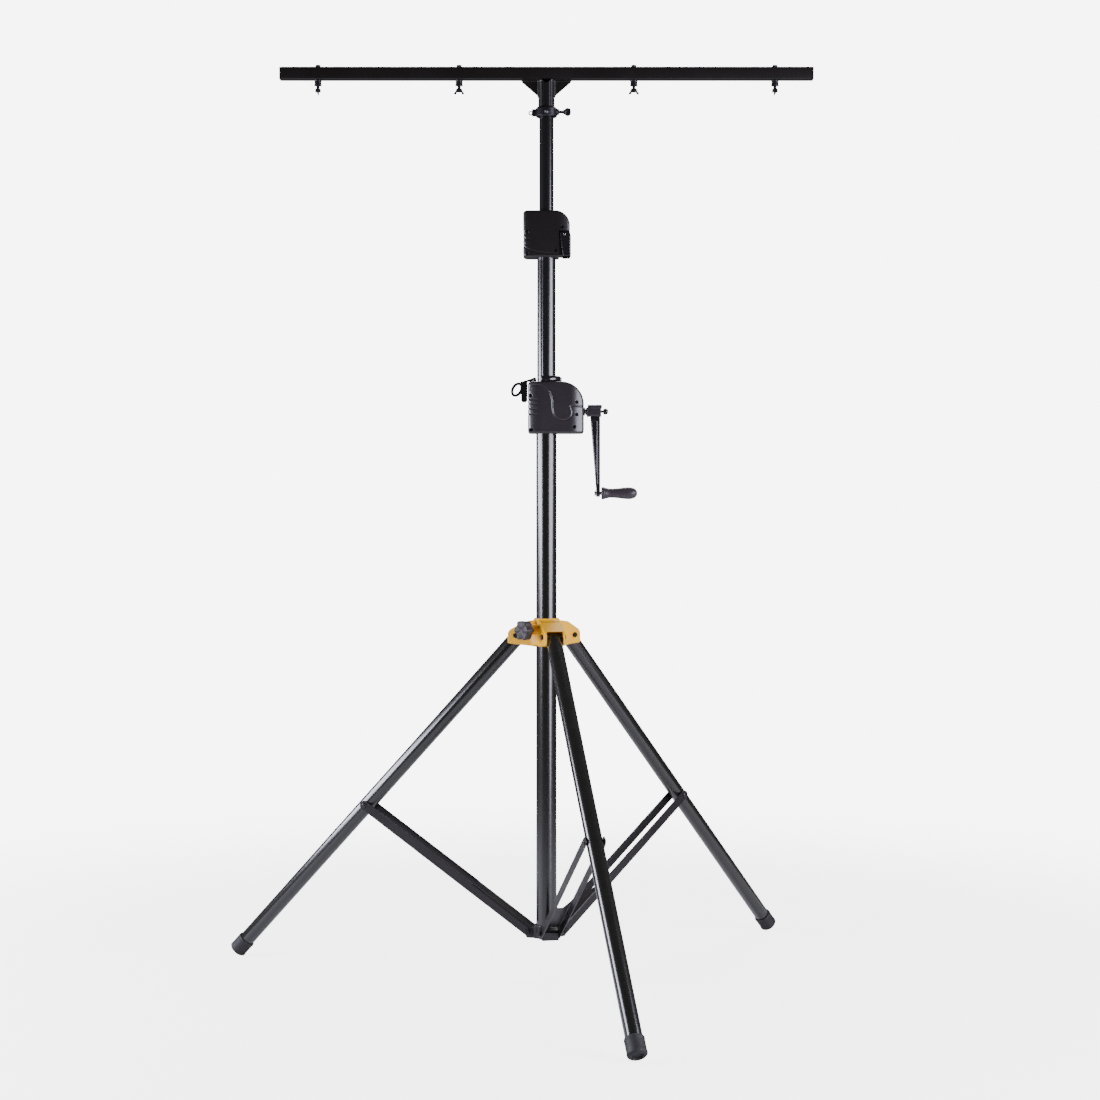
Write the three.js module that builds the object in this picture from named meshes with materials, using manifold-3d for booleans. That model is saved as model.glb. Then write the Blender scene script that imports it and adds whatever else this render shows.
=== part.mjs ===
// Crank lighting stand: a folding three-leg base, a telescopic mast wound up by a crank and locked by
// a grip housing, and a crossbar with four lamp bolts. Millimetres, +Z up. The origin is on the floor,
// on the mast axis; the front faces -Y and the crank is on the +X side.
import * as THREE from "three";
import { mergeVertices } from "three/addons/utils/BufferGeometryUtils.js";
import Module from "manifold-3d";

const wasm = await Module();
wasm.setup();

// ---- Fits -------------------------------------------------------------------------------------------
const GAP = 0.3; // between two pieces that touch
const SLIDE_GAP = 0.5; // each side, between a tube and what slides on it
const HOLE_GAP = 0.35; // radial, round a pin or a bolt

// ---- Facets -----------------------------------------------------------------------------------------
const TUBE_SIDES = 24;
const LEG_SIDES = 16;
const MID_SIDES = 20; // one flat of the middle tube faces +X and carries the rack

// ---- Legs and braces --------------------------------------------------------------------------------
const LEG_AZIMUTHS = { front: -76.8, right: 43.2, left: 163.2 };
const LEG_LENGTH = 1112; // hinge axis to the end of the foot
const LEG_TILT = 42.7; // degrees from vertical
const LEG_DIAMETER = 38;
const LEG_WALL = 2;
const LEG_HINGE_RADIUS = 70;
const LEG_EYE_RADIUS = 11;
const LEG_TUBE_START = 12; // below the hinge axis
const BOLT_DIAMETER = 8;
const BOLT_HEAD = 13;
const BOLT_HEAD_HEIGHT = 5;
const CAP_WALL = 3.2;
const CAP_LENGTH = 42;
const CAP_FLOOR = 9;
const CAP_CHAMFER = 4;
const CAP_RECESS_DIAMETER = 24;
const CAP_RECESS_DEPTH = 3;
const BRACE_DROP = 586; // from the leg hinge to the brace pivot, along the leg
const BRACE_HEIGHT = 23;
const BRACE_THICKNESS = 2.5;
const BRACE_SIDE_GAP = 2; // each side, between the leg and the brace
const BRACE_WEB_START = 20;
const BRACE_WEB_END = 130;
const BRACE_NOTCH = 45;
const BRACE_FOOT_RADIUS = 40;
const BRACE_FOOT_HEIGHT = 110;
const RIVET_RADIUS = 6.5;
const RIVET_HEIGHT = 3;

// ---- Mast -------------------------------------------------------------------------------------------
const MAIN_DIAMETER = 50;
const MAIN_WALL = 2;
const MID_ROOM = 0.5; // between the main tube and the middle one, all round
const MAIN_BOTTOM = 99;
const MAIN_TOP = 1440;
const MID_WALL = 2.5;
const TOP_ROOM = 2.5; // between the middle tube and the top one, all round, for the pinion
const MID_BOTTOM = 410;
const MID_TOP = 1800;
const TOP_WALL = 2;
const TOP_BOTTOM = 690;
const TOP_TOP = 2176;
const MID_TRAVEL_DOWN = 286;
const MID_TRAVEL_UP = 614;
const BUSH_FLANGE = 8;
const BUSH_LENGTH = 30;
const mainRadius = MAIN_DIAMETER / 2;
const midRadius = mainRadius - MAIN_WALL - MID_ROOM;
const topRadius = midRadius - MID_WALL - TOP_ROOM;

// ---- Base bracket and leg collar --------------------------------------------------------------------
const BRACKET_BOTTOM = 94;
const BRACKET_TOP = 126;
const BRACKET_WALL = 4;
const LUG_END = 7; // from the brace pin's axis to the nose of its lug
const COLLAR_BOTTOM = 804;
const COLLAR_TOP = 872;
const COLLAR_WALL = 3;
const COLLAR_BAND = 24; // height of the slim band at the top
const CHEEK_THICKNESS = 5.2;
const CHEEK_END = 92; // from the mast axis
const CLEVIS_GAP = 1.3; // each side of the leg
const CLEVIS_ROOF = 3; // above the leg's eye
const KNOB_AZIMUTH = -136.8;
const KNOB_HEIGHT = 845;
const KNOB_RADIUS = 25;
const KNOB_LOBES = 6;
const KNOB_LOBE_DEPTH = 2.5;
const KNOB_LENGTH = 24;
const KNOB_NECK = 9;
const KNOB_BOSS_END = mainRadius + 30;
const KNOB_BOSS_WALL = 7;
const KNOB_STUD = 10;

// ---- Rack and crank gearing -------------------------------------------------------------------------
const RACK_PITCH = 10;
const SLOT_HEIGHT = 6;
const SLOT_WIDTH = 6.2;
const PINION_TEETH = 14;
const PINION_WIDTH = 5;
const PINION_DEPTH = 1.2; // of the pitch line under the rack's face
const TOOTH_ROOT_HALF = 2.2;
const TOOTH_TIP_HALF = 1.6;
const TOOTH_ROOT_DEPTH = 1.7; // of the teeth under the pitch circle
const WHEEL_TEETH = 18;
const WHEEL_RADIUS = 18; // at its pitch line
const WHEEL_WIDTH = 6;
const WHEEL_ADDENDUM = 1.2;
const WHEEL_DEDENDUM = 1.7;
const WORM_RADIUS = 7; // at its pitch line
const WORM_CORE = 5.2;
const WORM_THREAD = 1.5; // radius of the round thread
const WORM_THREAD_CENTRE = 6.2;
const WORM_TURNS = 3;
const SHAFT_HEIGHT = 1375;
const SHAFT_Y = -14;
const SHAFT_DIAMETER = 12;
const AXLE_DIAMETER = 8;

// ---- Crank housing ----------------------------------------------------------------------------------
const CRANK_CASE = {
  left: -mainRadius - 20,
  right: mainRadius + 66,
  bottom: 1321.5,
  top: 1447.6,
  depth: MAIN_DIAMETER + 25,
  wall: 3,
};
const CRANK_CASE_CORNERS = { topLeft: 9, topRight: 55, bottomRight: 6, bottomLeft: 6 };
const CASE_EDGE = 3; // rounding of a casing's outer edges
const SADDLE_WALL = 5;
const SADDLE_HEIGHT = 16;
const GRIP_GROOVES = [1368, 1382, 1393, 1405];
const GROOVE_DEPTH = 1.2;
const GROOVE_HEIGHT = 4;
const SLEEVE_WALL = 2.2;
const COLLAR_RISE = 14; // of the guide collar over the casing
const GUIDE_WALL = 9;
const GUIDE_OPENING = 13; // from the mast axis, on the lever's side
const LEVER_PIVOT = { x: -mainRadius - 4, z: 1453 };
const LEVER_THICKNESS = 7;
const LEVER_PIN = 4;

// ---- Crank ------------------------------------------------------------------------------------------
const HUB_START = CRANK_CASE.right + 7;
const HUB_END = HUB_START + 35;
const HUB_BELOW = SHAFT_DIAMETER / 2 + 7;
const HUB_ABOVE = SHAFT_DIAMETER / 2 + 3;
const HUB_DEPTH = SHAFT_DIAMETER + 12;
const HUB_PLATE = 7;
const CRANK_RADIUS = 198.5;
const ARM_RIGHT = HUB_END - 2.5;
const ARM_TOP_WIDTH = 24;
const ARM_END_WIDTH = 10;
const ARM_DEPTH = 18;
const ARM_TONGUE = 10;
const ARM_TONGUE_HEIGHT = 6;
const GRIP_START = ARM_RIGHT + 3;
const GRIP_END = GRIP_START + 87.5;
const SPINDLE_DIAMETER = 8;

// ---- Upper housing ----------------------------------------------------------------------------------
const TOP_CASE = {
  left: -midRadius - 34,
  right: midRadius + 34.5,
  bottom: 1749,
  top: 1863,
  depth: 2 * midRadius + 21,
  wall: 3,
};
const TOP_CASE_CORNERS = { topLeft: 8, topRight: 36, bottomRight: 6, bottomLeft: 7 };
const SCALLOPS = [1780, 1793, 1806];
const TRIGGER_NOTCH = { x: midRadius + 7.8, z: 1813.5 };
const TRIGGER_PIVOT = { x: midRadius + 21.5, z: 1803 };
const TRIGGER_WALL = 3;
const TRIGGER_PIN = 5;
const TOE_TIP = topRadius + 4.5;
const TOE_TOP = 1815.5;
const GRIP_PLATE = {
  left: -midRadius - 11.5,
  right: midRadius + 7.5,
  bottom: 1816,
  thickness: 5,
  depth: 2 * topRadius + 5,
};
const SPRING_WIRE = 2.4;
const SPRING_TURNS = 3;
const SPRING_TRAVEL = 5; // free height over the spring, for the plate's lift

// ---- Crossbar and its socket ------------------------------------------------------------------------
const BAR_LENGTH = 1300;
const BAR_SIZE = 30;
const BAR_WALL = 2;
const BAR_BOTTOM = 2184;
const PLUG_FLANGE = 3;
const PLUG_DEPTH = 20;
const LAMP_POSITIONS = [-557, -213, 213, 557];
const LAMP_BOLT = 8;
const SPACER_DIAMETER = 19;
const SPACER_HEIGHT = 14;
const LAMP_BOLT_BELOW = 30; // under the bar
const LAMP_HEAD_HEIGHT = 6;
const NUT_DIAMETER = 15;
const NUT_HEIGHT = 8;
const WING_SPAN = 26;
const WING_DROP = 6;
const WING_THICKNESS = 3;
const NUT_DROP = 7; // from the spacer to the nut, where a lamp's yoke is clamped
const SOCKET_WALL = 1.8;
const SOCKET_BOTTOM = 2096;
const SOCKET_SADDLE = 2;
const GUSSET_HALF = 60;
const GUSSET_BOTTOM = 2141;
const GUSSET_THICKNESS = 4;
const CLAMP_BOTTOM = 2093;
const CLAMP_TOP = 2118;
const CLAMP_WALL = 6;
const CLAMP_EAR_END = -topRadius - 17.5;
const CLAMP_SLIT = 2;
const THUMB_SCREW = {
  diameter: 8,
  z: 2106,
  paddleStart: topRadius + 25.5,
  end: topRadius + 42.5,
  paddleHeight: 22,
};
const CLIP_RING = { x: CLAMP_EAR_END - 3.5, z: 2104, radius: 4.2, wire: 1.5 };

// ---- Values worked out from the sizes ---------------------------------------------------------------
const rad = THREE.MathUtils.degToRad;
const tilt = rad(LEG_TILT);
const capRadius = LEG_DIAMETER / 2 + GAP + CAP_WALL;
const footRise = Math.max(
  (capRadius - CAP_CHAMFER) * Math.sin(tilt),
  capRadius * Math.sin(tilt) - CAP_CHAMFER * Math.cos(tilt),
);
const legHingeHeight = LEG_LENGTH * Math.cos(tilt) + footRise;
const bracePivotRadius = LEG_HINGE_RADIUS + BRACE_DROP * Math.sin(tilt);
const bracePivotHeight = legHingeHeight - BRACE_DROP * Math.cos(tilt);
const braceReach = bracePivotRadius - BRACE_FOOT_RADIUS;
const braceRise = bracePivotHeight - BRACE_FOOT_HEIGHT;
const braceLength = Math.hypot(braceReach, braceRise);
const braceTilt = Math.atan2(braceReach, braceRise);
const braceInner = LEG_DIAMETER / 2 + BRACE_SIDE_GAP;
const braceOuter = braceInner + BRACE_THICKNESS;
const clevisInner = LEG_DIAMETER / 2 + CLEVIS_GAP;
const clevisOuter = clevisInner + CHEEK_THICKNESS;
const boltRadius = BOLT_DIAMETER / 2;
const rackFace = midRadius * Math.cos(Math.PI / MID_SIDES);
const rackBack = (midRadius - MID_WALL) * Math.cos(Math.PI / MID_SIDES);
const pinionRadius = (PINION_TEETH * RACK_PITCH) / (2 * Math.PI);
const axleX = rackFace - PINION_DEPTH + pinionRadius;
const axleZ = SHAFT_HEIGHT + WHEEL_RADIUS + WORM_RADIUS;
const pinionTip = axleX - rackBack - 0.2;
const wormPitch = (2 * Math.PI * WHEEL_RADIUS) / WHEEL_TEETH;
const shaftRadius = SHAFT_DIAMETER / 2;
const socketRadius = topRadius + SLIDE_GAP + SOCKET_WALL;
const gripZ = SHAFT_HEIGHT - CRANK_RADIUS;

// ---- Materials --------------------------------------------------------------------------------------
function finish(color, roughness, metalness) {
  return new THREE.MeshStandardMaterial({ color, roughness, metalness });
}

const blackCoat = finish(0x17161a, 0.32, 0.2);
const blackPlastic = finish(0x1d1c1f, 0.5, 0);
const yellowPlastic = finish(0xf2b01c, 0.35, 0);
const rubber = finish(0x141414, 0.85, 0);
const darkGrip = finish(0x2a272b, 0.55, 0);
const zinc = finish(0x9a9da1, 0.35, 0.9);
const darkSteel = finish(0x2b2b2e, 0.4, 0.8);
const bronze = finish(0xa57a42, 0.4, 0.9);
const acetal = finish(0xd8d6cf, 0.5, 0);

// ---- Shape helpers ----------------------------------------------------------------------------------
function solidOf(geometry) {
  const bare = geometry.clone();
  bare.deleteAttribute("normal");
  bare.deleteAttribute("uv");
  const merged = mergeVertices(bare, 1e-4);
  const vertProperties = merged.attributes.position.array;
  const triVerts = new Uint32Array(merged.index.array);
  return new wasm.Manifold(new wasm.Mesh({ numProp: 3, vertProperties, triVerts }));
}

function geometryOf(solid) {
  const mesh = solid.getMesh();
  const geometry = new THREE.BufferGeometry();
  geometry.setAttribute("position", new THREE.BufferAttribute(new Float32Array(mesh.vertProperties), 3));
  geometry.setIndex(new THREE.BufferAttribute(new Uint32Array(mesh.triVerts), 1));
  geometry.computeVertexNormals();
  return geometry;
}

const joined = (...solids) => solids.reduce((all, one) => all.add(one));
const less = (solid, ...cuts) => cuts.reduce((left, cut) => left.subtract(cut), solid);

// A solid of revolution about Z from [radius, z] pairs that run anticlockwise. turn is in degrees.
function turned(profile, sides, turn = 0) {
  const points = profile.map(([r, z]) => new THREE.Vector2(r, z));
  const geometry = new THREE.LatheGeometry(points, sides);
  geometry.rotateX(Math.PI / 2);
  geometry.rotateZ(rad(turn));
  return solidOf(geometry);
}

function ring(inner, outer, z0, z1, sides, turn = 0) {
  const profile = [
    [inner, z0],
    [outer, z0],
    [outer, z1],
    [inner, z1],
    [inner, z0],
  ];
  return turned(profile, sides, turn);
}

// A round bar along an axis letter, from one coordinate to the other, through the two others in at.
function rod(radius, axis, from, to, at, sides = 12) {
  const geometry = new THREE.CylinderGeometry(radius, radius, to - from, sides);
  const middle = (from + to) / 2;
  if (axis === "x") geometry.rotateZ(Math.PI / 2).translate(middle, at[0], at[1]);
  if (axis === "y") geometry.translate(at[0], middle, at[1]);
  if (axis === "z") geometry.rotateX(Math.PI / 2).translate(at[0], at[1], middle);
  return solidOf(geometry);
}

function block(x0, x1, y0, y1, z0, z1) {
  const geometry = new THREE.BoxGeometry(x1 - x0, y1 - y0, z1 - z0);
  geometry.translate((x0 + x1) / 2, (y0 + y1) / 2, (z0 + z1) / 2);
  return solidOf(geometry);
}

// A flat shape given thickness along an axis letter. It is drawn in (x, z) for y, (y, z) for x, (x, y) for z.
function extruded(shape, axis, from, to, options = {}) {
  const settings = { depth: to - from, bevelEnabled: false, curveSegments: 4, ...options };
  const geometry = new THREE.ExtrudeGeometry(shape, settings);
  const bevel = settings.bevelEnabled ? settings.bevelThickness : 0;
  geometry.translate(0, 0, bevel);
  if (axis === "x") {
    const turn = new THREE.Matrix4().makeBasis(
      new THREE.Vector3(0, 1, 0),
      new THREE.Vector3(0, 0, 1),
      new THREE.Vector3(1, 0, 0),
    );
    geometry.applyMatrix4(turn).translate(from, 0, 0);
  }
  if (axis === "y") geometry.rotateX(Math.PI / 2).translate(0, to, 0);
  if (axis === "z") geometry.translate(0, 0, from);
  return solidOf(geometry);
}

const outline = (points) => new THREE.Shape(points.map(([a, b]) => new THREE.Vector2(a, b)));

// A rectangle whose corners have their own radii, inset all round.
function roundedRectangle({ left, right, bottom, top }, corners, inset = 0) {
  const [l, r, b, t] = [left + inset, right - inset, bottom + inset, top - inset];
  const radius = (name) => Math.max(corners[name] - inset, 0.5);
  const shape = new THREE.Shape();
  const [bl, br, tr, tl] = ["bottomLeft", "bottomRight", "topRight", "topLeft"].map(radius);
  shape.moveTo(l + bl, b);
  shape.lineTo(r - br, b);
  shape.absarc(r - br, b + br, br, -Math.PI / 2, 0, false);
  shape.lineTo(r, t - tr);
  shape.absarc(r - tr, t - tr, tr, 0, Math.PI / 2, false);
  shape.lineTo(l + tl, t);
  shape.absarc(l + tl, t - tl, tl, Math.PI / 2, Math.PI, false);
  shape.lineTo(l, b + bl);
  shape.absarc(l + bl, b + bl, bl, Math.PI, 1.5 * Math.PI, false);
  return shape;
}

// The outer skin of a casing less its hollow, from y = -depth/2 to +depth/2. A bevel rounds its edges.
function casing(size, corners) {
  const bevel = {
    depth: size.depth - 2 * CASE_EDGE,
    bevelEnabled: true,
    bevelThickness: CASE_EDGE,
    bevelSize: CASE_EDGE,
    bevelOffset: -CASE_EDGE,
    bevelSegments: 1,
  };
  const half = size.depth / 2;
  const outer = extruded(roundedRectangle(size, corners), "y", -half, half, bevel);
  const inside = half - size.wall;
  const hollow = extruded(roundedRectangle(size, corners, size.wall), "y", -inside, inside);
  return outer.subtract(hollow);
}

// The half of a casing in front of the mast axis, or behind it.
function halfOf(solid, size, side) {
  const reach = size.depth;
  const [y0, y1] = side === "front" ? [-reach, -GAP / 2] : [GAP / 2, reach];
  const keep = block(size.left - reach, size.right + reach, y0, y1, size.bottom - reach, size.top + reach);
  return solid.intersect(keep);
}

// ---- Scene graph helpers ----------------------------------------------------------------------------
const stand = new THREE.Group();

function addPart(parent, name, solid, material) {
  const mesh = new THREE.Mesh(geometryOf(solid), material);
  mesh.name = name;
  parent.add(mesh);
}

function addGroup(parent, x, y, z) {
  const group = new THREE.Group();
  group.position.set(x, y, z);
  parent.add(group);
  return group;
}

// ---- Mast tubes -------------------------------------------------------------------------------------
function mainTube() {
  const tube = ring(mainRadius - MAIN_WALL, mainRadius, MAIN_BOTTOM, MAIN_TOP, TUBE_SIDES);
  const windowHalf = pinionTip + 2;
  const widthHalf = PINION_WIDTH / 2 + 2.5;
  const [low, high] = [axleZ - windowHalf, axleZ + windowHalf];
  return less(tube, block(mainRadius / 2, mainRadius + 1, -widthHalf, widthHalf, low, high));
}

// The rack is a row of slots down one flat of the tube, one of them at the pinion's height.
function midTube() {
  const halfTurn = 180 / MID_SIDES;
  const tube = ring(midRadius - MID_WALL, midRadius, MID_BOTTOM, MID_TOP, MID_SIDES, halfTurn);
  const reach = pinionTip;
  const below = Math.ceil((MID_TRAVEL_UP + reach) / RACK_PITCH);
  const above = Math.ceil((MID_TRAVEL_DOWN + reach) / RACK_PITCH);
  const slots = [];
  for (let i = -below; i <= above; i += 1) {
    const z = axleZ + i * RACK_PITCH;
    const [low, high] = [z - SLOT_HEIGHT / 2, z + SLOT_HEIGHT / 2];
    slots.push(block(midRadius / 2, midRadius + 1, -SLOT_WIDTH / 2, SLOT_WIDTH / 2, low, high));
  }
  return less(tube, joined(...slots));
}

function topTube() {
  return ring(topRadius - TOP_WALL, topRadius, TOP_BOTTOM, TOP_TOP, TUBE_SIDES);
}

// A bush whose flange slides in the tube outside and whose spigot fills the tube inside.
function footBush(flangeRadius, spigotRadius, bore, tubeBottom) {
  const flangeTop = tubeBottom - GAP;
  const profile = [
    [bore, flangeTop - BUSH_FLANGE],
    [flangeRadius, flangeTop - BUSH_FLANGE],
    [flangeRadius, flangeTop],
    [spigotRadius, flangeTop],
    [spigotRadius, flangeTop + BUSH_LENGTH],
    [bore, flangeTop + BUSH_LENGTH],
    [bore, flangeTop - BUSH_FLANGE],
  ];
  return turned(profile, TUBE_SIDES);
}

// The bush in the middle tube's mouth, which guides the top tube.
function mouthBush() {
  const bore = topRadius + SLIDE_GAP;
  const spigot = rackBack - GAP;
  const profile = [
    [bore, MID_TOP - BUSH_LENGTH],
    [spigot, MID_TOP - BUSH_LENGTH],
    [spigot, MID_TOP + GAP],
    [midRadius, MID_TOP + GAP],
    [midRadius, MID_TOP + 3],
    [bore, MID_TOP + 3],
    [bore, MID_TOP - BUSH_LENGTH],
  ];
  return turned(profile, TUBE_SIDES);
}

// ---- Base bracket and leg collar --------------------------------------------------------------------
// The same piece for each leg, turned to the leg's azimuth.
function atEachLeg(make) {
  return Object.values(LEG_AZIMUTHS).map((azimuth) => make().rotate([0, 0, azimuth]));
}

function baseBracket() {
  const outer = mainRadius + GAP + BRACKET_WALL;
  const cup = turned(
    [
      [0, BRACKET_BOTTOM],
      [outer, BRACKET_BOTTOM],
      [outer, BRACKET_TOP],
      [0, BRACKET_TOP],
    ],
    TUBE_SIDES,
  );
  const nose = BRACE_FOOT_RADIUS + LUG_END;
  const lugShape = outline([
    [mainRadius - 4, BRACKET_BOTTOM],
    [nose - 3, BRACKET_BOTTOM],
    [nose, BRACKET_BOTTOM + 4],
    [nose, BRACE_FOOT_HEIGHT + 3],
    [nose - 5, BRACE_FOOT_HEIGHT + 9],
    [mainRadius - 4, BRACE_FOOT_HEIGHT + 13],
  ]);
  const lugHalf = braceInner - GAP;
  const pinHole = () =>
    rod(boltRadius + HOLE_GAP, "y", -lugHalf - 1, lugHalf + 1, [BRACE_FOOT_RADIUS, BRACE_FOOT_HEIGHT]);
  const lugs = atEachLeg(() => extruded(lugShape, "y", -lugHalf, lugHalf));
  const bore = rod(mainRadius + GAP, "z", MAIN_BOTTOM - GAP, BRACKET_TOP + 1, [0, 0], TUBE_SIDES);
  return less(joined(cup, ...lugs), bore, ...atEachLeg(pinHole));
}

function legCollar() {
  const bandRadius = mainRadius + SLIDE_GAP + COLLAR_WALL;
  const skirtRadius = bandRadius + 7;
  const body = turned(
    [
      [0, COLLAR_BOTTOM + 4],
      [skirtRadius, COLLAR_BOTTOM + 4],
      [skirtRadius, COLLAR_TOP - COLLAR_BAND],
      [bandRadius + 1, COLLAR_TOP - COLLAR_BAND + 9],
      [bandRadius, COLLAR_TOP],
      [0, COLLAR_TOP],
    ],
    TUBE_SIDES,
  );
  const cheekShape = outline([
    [mainRadius, COLLAR_BOTTOM],
    [CHEEK_END - 2, COLLAR_BOTTOM + 6],
    [CHEEK_END, COLLAR_BOTTOM + 9],
    [CHEEK_END, legHingeHeight + 6],
    [CHEEK_END - 5, legHingeHeight + 14],
    [CHEEK_END - 16, legHingeHeight + 20],
    [LEG_HINGE_RADIUS - 20, COLLAR_TOP - 6],
    [mainRadius, COLLAR_TOP - 2],
  ]);
  const roof = legHingeHeight + LEG_EYE_RADIUS + CLEVIS_ROOF;
  const slotStart = LEG_HINGE_RADIUS - LEG_DIAMETER / 2 - 4;
  const arms = atEachLeg(() => extruded(cheekShape, "y", -clevisOuter, clevisOuter));
  const slot = () => block(slotStart, CHEEK_END + 5, -clevisInner, clevisInner, COLLAR_BOTTOM - 5, roof);
  const boltHole = () =>
    rod(boltRadius + HOLE_GAP, "y", -clevisOuter - 1, clevisOuter + 1, [LEG_HINGE_RADIUS, legHingeHeight]);
  const atKnob = [0, KNOB_HEIGHT];
  const straightBoss = rod(KNOB_STUD / 2 + KNOB_BOSS_WALL, "x", mainRadius, KNOB_BOSS_END, atKnob);
  const straightHole = rod(KNOB_STUD / 2 + HOLE_GAP, "x", mainRadius / 2, KNOB_BOSS_END + 5, atKnob);
  const boss = straightBoss.rotate([0, 0, KNOB_AZIMUTH]);
  const studHole = straightHole.rotate([0, 0, KNOB_AZIMUTH]);
  const bore = rod(mainRadius + SLIDE_GAP, "z", COLLAR_BOTTOM - 5, COLLAR_TOP + 5, [0, 0], TUBE_SIDES);
  const filled = joined(body, ...arms, boss);
  return less(filled, bore, studHole, ...atEachLeg(slot), ...atEachLeg(boltHole));
}

// The star knob and its stud lie along +X from the mast axis, at height zero.
function collarStud() {
  return rod(KNOB_STUD / 2, "x", mainRadius + GAP, KNOB_BOSS_END + KNOB_NECK, [0, 0]);
}

function collarKnob() {
  const shape = new THREE.Shape();
  const steps = KNOB_LOBES * 6;
  for (let i = 0; i < steps; i += 1) {
    const angle = (2 * Math.PI * i) / steps;
    const radius = KNOB_RADIUS - KNOB_LOBE_DEPTH + KNOB_LOBE_DEPTH * Math.cos(KNOB_LOBES * angle);
    const move = i ? "lineTo" : "moveTo";
    shape[move](radius * Math.cos(angle), radius * Math.sin(angle));
  }
  const start = KNOB_BOSS_END + GAP;
  const faceStart = start + KNOB_NECK - 3;
  const star = extruded(shape, "x", faceStart, start + KNOB_LENGTH + KNOB_NECK - 3);
  const neck = rod(KNOB_STUD / 2 + 5, "x", start, faceStart + 1, [0, 0]);
  const socket = rod(KNOB_STUD / 2 + GAP, "x", start - 1, KNOB_BOSS_END + KNOB_NECK + GAP, [0, 0]);
  return less(joined(star, neck), socket);
}

// ---- One leg, hanging along -Z from its hinge at the origin, +X outwards -------------------------------
function legTube() {
  const outer = LEG_DIAMETER / 2;
  const end = -(LEG_LENGTH - CAP_FLOOR - GAP);
  const tube = ring(outer - LEG_WALL, outer, end, -LEG_TUBE_START, LEG_SIDES);
  const eye = rod(LEG_EYE_RADIUS, "y", -outer, outer, [0, 0]);
  const plug = rod(outer - 1, "z", -LEG_TUBE_START - 14, -LEG_TUBE_START, [0, 0], LEG_SIDES);
  const neck = extruded(
    outline([
      [-LEG_EYE_RADIUS, 0],
      [-outer + 3, -LEG_TUBE_START - 2],
      [outer - 3, -LEG_TUBE_START - 2],
      [LEG_EYE_RADIUS, 0],
    ]),
    "y",
    -outer + 2,
    outer - 2,
  );
  const hole = rod(boltRadius + HOLE_GAP, "y", -outer - 1, outer + 1, [0, 0]);
  const bushHalf = braceInner - GAP;
  const crossBush = rod(boltRadius + 2, "y", -bushHalf, bushHalf, [0, -BRACE_DROP]);
  return less(joined(tube, eye, plug, neck, crossBush), hole);
}

function footCap() {
  const bottom = -LEG_LENGTH;
  const inner = LEG_DIAMETER / 2 + GAP;
  const recess = CAP_RECESS_DIAMETER / 2;
  const profile = [
    [0, bottom + CAP_RECESS_DEPTH],
    [recess, bottom + CAP_RECESS_DEPTH],
    [recess, bottom],
    [capRadius - CAP_CHAMFER, bottom],
    [capRadius, bottom + CAP_CHAMFER],
    [capRadius, bottom + CAP_LENGTH - 2],
    [capRadius - 2, bottom + CAP_LENGTH],
    [inner, bottom + CAP_LENGTH],
    [inner, bottom + CAP_FLOOR],
    [0, bottom + CAP_FLOOR],
  ];
  return turned(profile, LEG_SIDES);
}

// A bolt along Y through the origin, with a hexagon head at one end and a nut at the other.
function crossBolt(gripHalf) {
  const headStart = gripHalf + GAP;
  const shank = rod(boltRadius, "y", -headStart - 1, headStart + 1, [0, 0]);
  const hex = BOLT_HEAD / 2;
  const head = rod(hex, "y", -headStart - BOLT_HEAD_HEIGHT, -headStart, [0, 0], 6);
  const nut = rod(hex, "y", headStart, headStart + BOLT_HEAD_HEIGHT, [0, 0], 6);
  return joined(shank, head, nut);
}

// A brace rises along +Z from its foot pin at the origin, +X outwards. Its two flanges straddle the leg,
// and a web joins them on the mast side near the foot. The upper rivets end short of the leg.
function brace() {
  const half = BRACE_HEIGHT / 2;
  const shape = new THREE.Shape();
  shape.absarc(0, 0, half, Math.PI, 0, false);
  shape.lineTo(half, braceLength);
  shape.absarc(0, braceLength, half, 0, Math.PI, false);
  const flange = (y0, y1) => extruded(shape, "y", y0, y1);
  const webShape = outline([
    [-braceOuter, BRACE_WEB_START],
    [braceOuter, BRACE_WEB_START],
    [braceOuter, BRACE_WEB_END + BRACE_NOTCH],
    [braceInner, BRACE_WEB_END + BRACE_NOTCH],
    [6, BRACE_WEB_END],
    [-6, BRACE_WEB_END],
    [-braceInner, BRACE_WEB_END + BRACE_NOTCH],
    [-braceOuter, BRACE_WEB_END + BRACE_NOTCH],
  ]);
  const web = extruded(webShape, "x", -half, -half + BRACE_THICKNESS);
  const footHole = rod(boltRadius + HOLE_GAP, "y", -braceOuter - 1, braceOuter + 1, [0, 0]);
  const rivetEnd = braceOuter + RIVET_HEIGHT;
  const rivet = (y0, y1) => rod(RIVET_RADIUS, "y", y0, y1, [0, braceLength], 8);
  const rivets = joined(rivet(-rivetEnd, -braceInner), rivet(braceInner, rivetEnd));
  const flanges = joined(flange(-braceOuter, -braceInner), flange(braceInner, braceOuter));
  return less(joined(flanges, web, rivets), footHole);
}

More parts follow.
